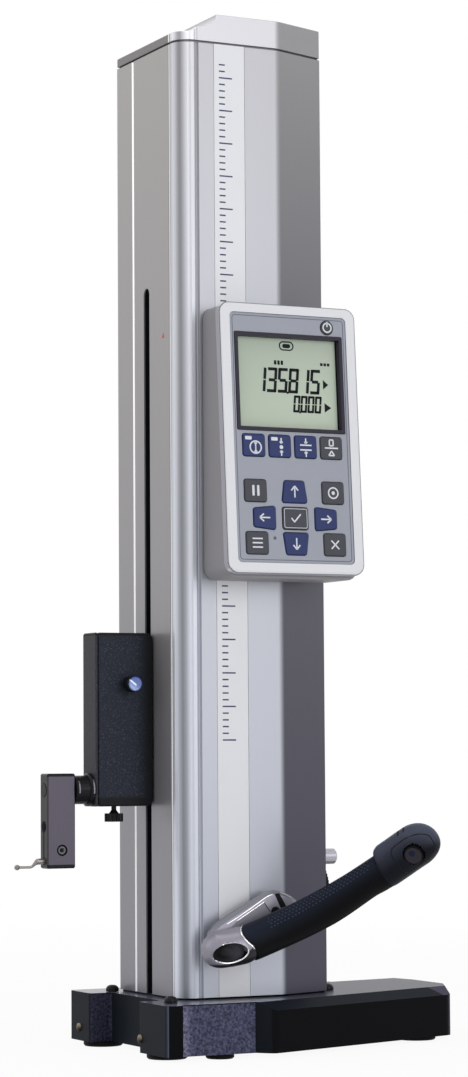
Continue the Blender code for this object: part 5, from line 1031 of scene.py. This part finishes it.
def makeSleeve():
    start, roll, steps = sleeveLook["start"], sleeveLook["roll"], sleeveLook["rollSteps"]
    length = sleeveLook["end"] - start - roll
    reaches = [start + roll * (1 - math.cos(math.pi / 2 * step / steps)) for step in range(steps)]
    reaches += [start + roll + length * ring / sleeveLook["rings"] for ring in range(sleeveLook["rings"] + 1)]
    rings = []
    for reach in reaches:
        gap = max(0.0, roll - (reach - start)) / roll
        drop = roll * (1 - math.sqrt(1 - gap * gap))
        half = lift(reach)
        neck = max(0.0, 1 - (reach - start) / gripLook["neckFade"]) ** 2
        rings.append(oval(reach, sleeveLook["depth"] - drop, sleeveLook["height"] - half - drop, half, neck))
    build = bmesh.new()
    skin(build, rings)
    piece = newPiece("sleeve_skin", build, "gripRubber", sleeveLook["smooth"])
    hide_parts("grip_sleeve")


dotLook = {"start": 18, "count": 29, "step": 3.2, "rows": (24, 35, 46, 57), "sides": 10,
           "profile": ((0.7, -0.5), (0.7, 0), (0.525, 0.315), (0.21, 0.45))}


def makeSleeveDots():
    build = bmesh.new()
    for count in range(dotLook["count"]):
        for row, angle in enumerate(dotLook["rows"]):
            reach = dotLook["start"] + dotLook["step"] * (count + 0.5 * (row % 2))
            half = lift(reach)
            place, out, run = onGrip(reach, angle, sleeveLook["depth"], sleeveLook["height"] - half, half)
            turned(build, planeAt(place, run, out.cross(run)), dotLook["profile"], dotLook["sides"])
    newPiece("sleeve_dots", build, "dotRubber", sleeveLook["smooth"])


# Lobe at the grip's root: its front is hollowed for the dark oval cap
lobeLook = {
    "depth": 13.0, "height": 13.9, "round": 15.0, "roundLeast": 0.02, "neck": 6.0, "neckDrop": 1.4, "end": -1.2,
    "rings": 90, "crowd": 1.3, "neckCrowd": 3,
    "dish": (21.1, 35.1), "dishHalf": (12.9, 7.4), "dishSlope": math.tan(math.radians(5)), "dishFloor": -31.5,
    "dishSkin": 2, "snap": (0.9, 1.06), "flat": 0.985,  # shares of the dish that its rim and its floor take
    "rimWire": 0.55, "rimSink": (0.33, 0.77),
    "neckWire": 0.5, "neckReach": -3.0, "neckHalf": -2.2, "neckProud": 0.4, "neckSides": (-4, 50),
}


def lobeHalf(reach):
    lead = max(0.0, 1 - (reach + lobeReach) / lobeLook["round"])
    full = math.sqrt(max(lobeLook["roundLeast"], 1 - lead * lead))
    drop = lobeLook["neckDrop"] * max(0.0, 1 - (lobeLook["end"] - reach) / lobeLook["neck"]) ** 2
    return lobeLook["depth"] * full - drop, lobeLook["height"] * full - drop


def lobeFront(x, z):  # how far forward the lobe's skin lies at a place of its front
    best = min(range(lobeSteps + 4), key=lambda index: abs(gripLine[index].x - x))
    middle = gripLine[best]
    depth, height = lobeHalf(sum(gripLengths[:best]) - lobeReach)
    return middle.y - depth * math.sqrt(max(0.0, 1 - ((z - middle.z) / height) ** 2))


def onDish(right, up):  # place on the front for shares of the dish's half width and half height
    x, z = lobeLook["dish"]
    halfX, halfZ = lobeLook["dishHalf"]
    return x + halfX * right, z + halfX * right * lobeLook["dishSlope"] + halfZ * up


def hollowLobe(build):
    for vertex in build.verts:
        place = (vertex.co - foot) * 1000
        shift, rise = place.x - lobeLook["dish"][0], place.z - lobeLook["dish"][1]
        away = Vector((shift / lobeLook["dishHalf"][0],
                       (rise - shift * lobeLook["dishSlope"]) / lobeLook["dishHalf"][1]))
        share = away.length
        if place.y < lobeLook["dishFloor"] + lobeLook["dishSkin"] and 0.001 < share < lobeLook["snap"][1]:
            if share > lobeLook["snap"][0]:
                place.x, place.z = onDish(*(away / share))
            if share <= lobeLook["flat"]:
                place.y = lobeLook["dishFloor"]
            vertex.co = at(*place)


def makeLobe():
    rings = []
    for ring in range(lobeLook["rings"] + 1):
        share = ring / lobeLook["rings"]
        reach = (lobeLook["end"] + lobeReach) * share ** lobeLook["crowd"] - lobeReach
        rings.append(oval(reach, *lobeHalf(reach), 0, share ** lobeLook["neckCrowd"]))
    build = bmesh.new()
    skin(build, rings)
    hollowLobe(build)
    piece = newPiece("lobe", build, "bracketMetal", sleeveLook["smooth"])
    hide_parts("grip_bracket")


def makeLobeRims():
    points = []
    for turn in turns(gripLook["rimSides"]):
        x, z = onDish(math.cos(turn), math.sin(turn))
        sink = lobeLook["rimSink"][0] + lobeLook["rimSink"][1] * math.sin(turn)
        points.append(at(x, lobeFront(x, z) + sink, z))
    build = bmesh.new()
    tube(build, points, lobeLook["rimWire"] / 1000, 10, True)
    newPiece("dish_rim", build, "chromeRim")
    depth, height = lobeHalf(lobeLook["neckHalf"])
    neck = oval(lobeLook["neckReach"], depth + lobeLook["neckProud"], height + lobeLook["neckProud"], 0, 1)
    first, last = lobeLook["neckSides"]
    build = bmesh.new()
    tube(build, neck[first:] + neck[:last], lobeLook["neckWire"] / 1000)
    newPiece("lobe_rim", build, "chromeRim")


# Leg along the column, in millimetres over the column's front face; the bevel is (inset, level below the front)
legLook = {
    "outline": ((19, 36), (15, 45), (16.5, 51), (22.3, 55.8), (35.5, 63.2), (48.7, 70.2), (59.3, 75.7),
                (66.6, 78.2), (72.6, 77.7), (81.3, 74.6), (87.4, 70), (88.5, 65.5), (85, 59), (75, 54), (61, 47),
                (47, 38), (32, 33)),
    "steps": 5, "smooth": 30, "front": 17.4,
    "bevel": ((0, 5.9), (0, 2.4), (0.35, 2.05), (2.6, 0.15), (3.0, 0)),
    "stem": (22, 12, 3, (64, 61)), "stemLevels": (0.4, 14.4),
    "panel": ((36.4, 56.5), (59.1, 69.9), (64.2, 62.7), (52, 54), (40, 47), (32, 52)), "panelLevels": (-0.5, 0.5),
    "lines": (((28.5, 54.7), (36.4, 58.8), (47.7, 65.4), (57.0, 71.2), (61.6, 74.0), (66.0, 75.4)),
              ((36.4, 56.7), (47.6, 63.3), (59.1, 70.0)), ((72.4, 76.6), (76.5, 75.2), (81.6, 72.6))),
    "lineWire": 0.32, "lineLevel": 0.1,
    "slot": ((67.9, 75.8), (71.6, 76.3), (77.6, 66.6), (73.1, 65.2)),
    "hole": (3.7, (68.7, 62.8)), "slotLevels": (-1.0, 0.12),
    "seam": ((59.1, 69.6), (63.9, 62.9), 0.5), "seamLevels": (-1.0, 0.58),
}


def inset(outline, gap):  # outline moved inward, for one that runs clockwise
    moved = []
    for index, point in enumerate(outline):
        run = (outline[(index + 1) % len(outline)] - outline[index - 1]).normalized()
        moved.append(point + Vector((run.y, -run.x)) * gap)
    return moved


def makeLeg():
    plane = frontPlane @ Matrix.Translation((0, 0, legLook["front"] / 1000))
    closed = [(*point, 0) for point in legLook["outline"] + legLook["outline"][:1]]
    outline = [point.xy for point in smoothLine(closed, legLook["steps"])[:-1]]
    build = bmesh.new()
    layers(build, plane, [(inset(outline, gap), -level) for gap, level in legLook["bevel"]])
    plate(build, frontPlane, roundedBox(*legLook["stem"]), *legLook["stemLevels"])
    piece = newPiece("leg", build, "bracketMetal", legLook["smooth"])
    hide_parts("grip_bracket")
    build = bmesh.new()
    plate(build, plane, legLook["panel"], *legLook["panelLevels"])
    newPiece("leg_panel", build, "bracketMetal")
    # bright wires stand in for highlights along the leg's edges
    build = bmesh.new()
    for row in legLook["lines"]:
        points = [plane @ (Vector((*point, legLook["lineLevel"])) / 1000) for point in row]
        tube(build, points, legLook["lineWire"] / 1000, 8)
    newPiece("leg_highlight_lines", build, "chromeRim")
    # dark plates stand in for the shade in the slot and the hole; the stroke is the seam
    build = bmesh.new()
    plate(build, plane, legLook["slot"], *legLook["slotLevels"])
    plate(build, plane, circle(*legLook["hole"]), *legLook["slotLevels"])
    stroke(build, plane, *legLook["seam"], *legLook["seamLevels"])
    newPiece("leg_slot", build, "darkPlastic")


tipLook = {
    "depth": 14.0, "height": 16.2, "rise": 2.3, "start": 115.8, "rings": 60, "crowd": 0.06, "smooth": 50,
    "shoulder": 7.0, "shoulderDrop": 5.0, "sideDrop": 0.2, "roundShare": 0.88, "roundLeast": 0.004, "square": 0.9,
    "button": (134.65, -109.55, 106.3), "buttonOut": (-0.6177, -0.6751, -0.4034),
    "pocket": 7.9, "pocketDepth": 3.5, "pocketSkin": 6, "snap": (0.9, 1.07), "flat": 0.985,
    "plateMiddle": (147.25, -27), "plateHalf": (15.75, 45), "plateSquare": 0.34, "plateWire": 0.4, "plateSink": -0.05,
    "vents": ((142.5, 52), (147.0, 52)), "vent": (1.6, 5.0, 0.7, (0, 0), 3), "ventLevels": (-1.0, 0.02),
}


def onTip(reach, angle, proud=0):
    lead = max(0.0, 1 - (reach - tipLook["start"]) / tipLook["shoulder"])
    drop = tipLook["shoulderDrop"] * (1 - math.sqrt(max(0.0, 1 - lead * lead)))
    late = max(0.0, (reach / gripReach - tipLook["roundShare"]) / (1 - tipLook["roundShare"]))
    full = math.sqrt(max(tipLook["roundLeast"], 1 - late * late))
    half = lift(reach)
    depth, height, rise = (tipLook["depth"] - drop * tipLook["sideDrop"], tipLook["height"] - half - drop / 2,
                           tipLook["rise"] + half - drop / 2)
    return onGrip(reach, angle, depth * full, height * full, rise * full, proud, tipLook["square"])


def sinkPocket(build):  # pocket for the button in the tip's side
    middle, out = at(*tipLook["button"]), Vector(tipLook["buttonOut"]).normalized()
    pocket = tipLook["pocket"] / 1000
    for vertex in build.verts:
        away = vertex.co - middle
        level = away.dot(out)
        away -= out * level
        share = away.length / pocket
        if level > -tipLook["pocketSkin"] / 1000 and share < tipLook["snap"][1]:
            if share > tipLook["snap"][0]:
                vertex.co = middle + away.normalized() * pocket + out * level
            if share <= tipLook["flat"]:
                vertex.co -= out * tipLook["pocketDepth"] / 1000


def makeTip():
    rings = []
    for ring in range(tipLook["rings"] + 1):
        share = ring / tipLook["rings"]
        share += tipLook["crowd"] * math.sin(2 * math.pi * share)
        reach = tipLook["start"] + (gripReach - tipLook["start"]) * share
        rings.append([onTip(reach, 360 * side / gripLook["sides"])[0] for side in range(gripLook["sides"])])
    build = bmesh.new()
    skin(build, rings)
    sinkPocket(build)
    piece = newPiece("tip_skin", build, "tipPlastic", tipLook["smooth"])
    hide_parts("grip_tip")
    # dark wire round the plate: painted shade of its outline groove
    points = []
    for turn in turns(gripLook["rimSides"]):
        place = []
        for middle, half, part in zip(tipLook["plateMiddle"], tipLook["plateHalf"], (math.cos(turn), math.sin(turn))):
            place.append(middle + half * math.copysign(abs(part) ** tipLook["plateSquare"], part))
        points.append(onTip(*place, tipLook["plateSink"])[0])
    build = bmesh.new()
    tube(build, points, tipLook["plateWire"] / 1000, 8, True)
    newPiece("tip_plate_groove_shade", build, "darkPlastic")
    # dark plates stand in for the shade in the vents
    build = bmesh.new()
    for reach, angle in tipLook["vents"]:
        place, out, run = onTip(reach, angle)
        plate(build, planeAt(place, run, out.cross(run)), roundedBox(*tipLook["vent"]), *tipLook["ventLevels"])
    newPiece("tip_vents", build, "darkPlastic")


makeSleeve()
makeSleeveDots()
makeLobe()
makeLobeRims()
makeLeg()
makeTip()
print("grip made")


# Screws in the base's left faces
baseScrewLook = {"places": ((-30, 121, -28.6), (-30, 9, -28.5)), "sides": 24, "smooth": 60,
                 "profile": ((3.3, -1), (3.3, 0.5), (3.102, 0.95), (2.508, 1.4), (1.65, 1.7), (0.66, 1.85))}


def makeBaseScrews():
    build = bmesh.new()
    for place in baseScrewLook["places"]:
        turned(build, planeAt(at(*place), (0, -1, 0), (0, 0, 1)), baseScrewLook["profile"], baseScrewLook["sides"])
    newPiece("base_screws", build, "screwHead", baseScrewLook["smooth"])


makeBaseScrews()
print("base screws made")
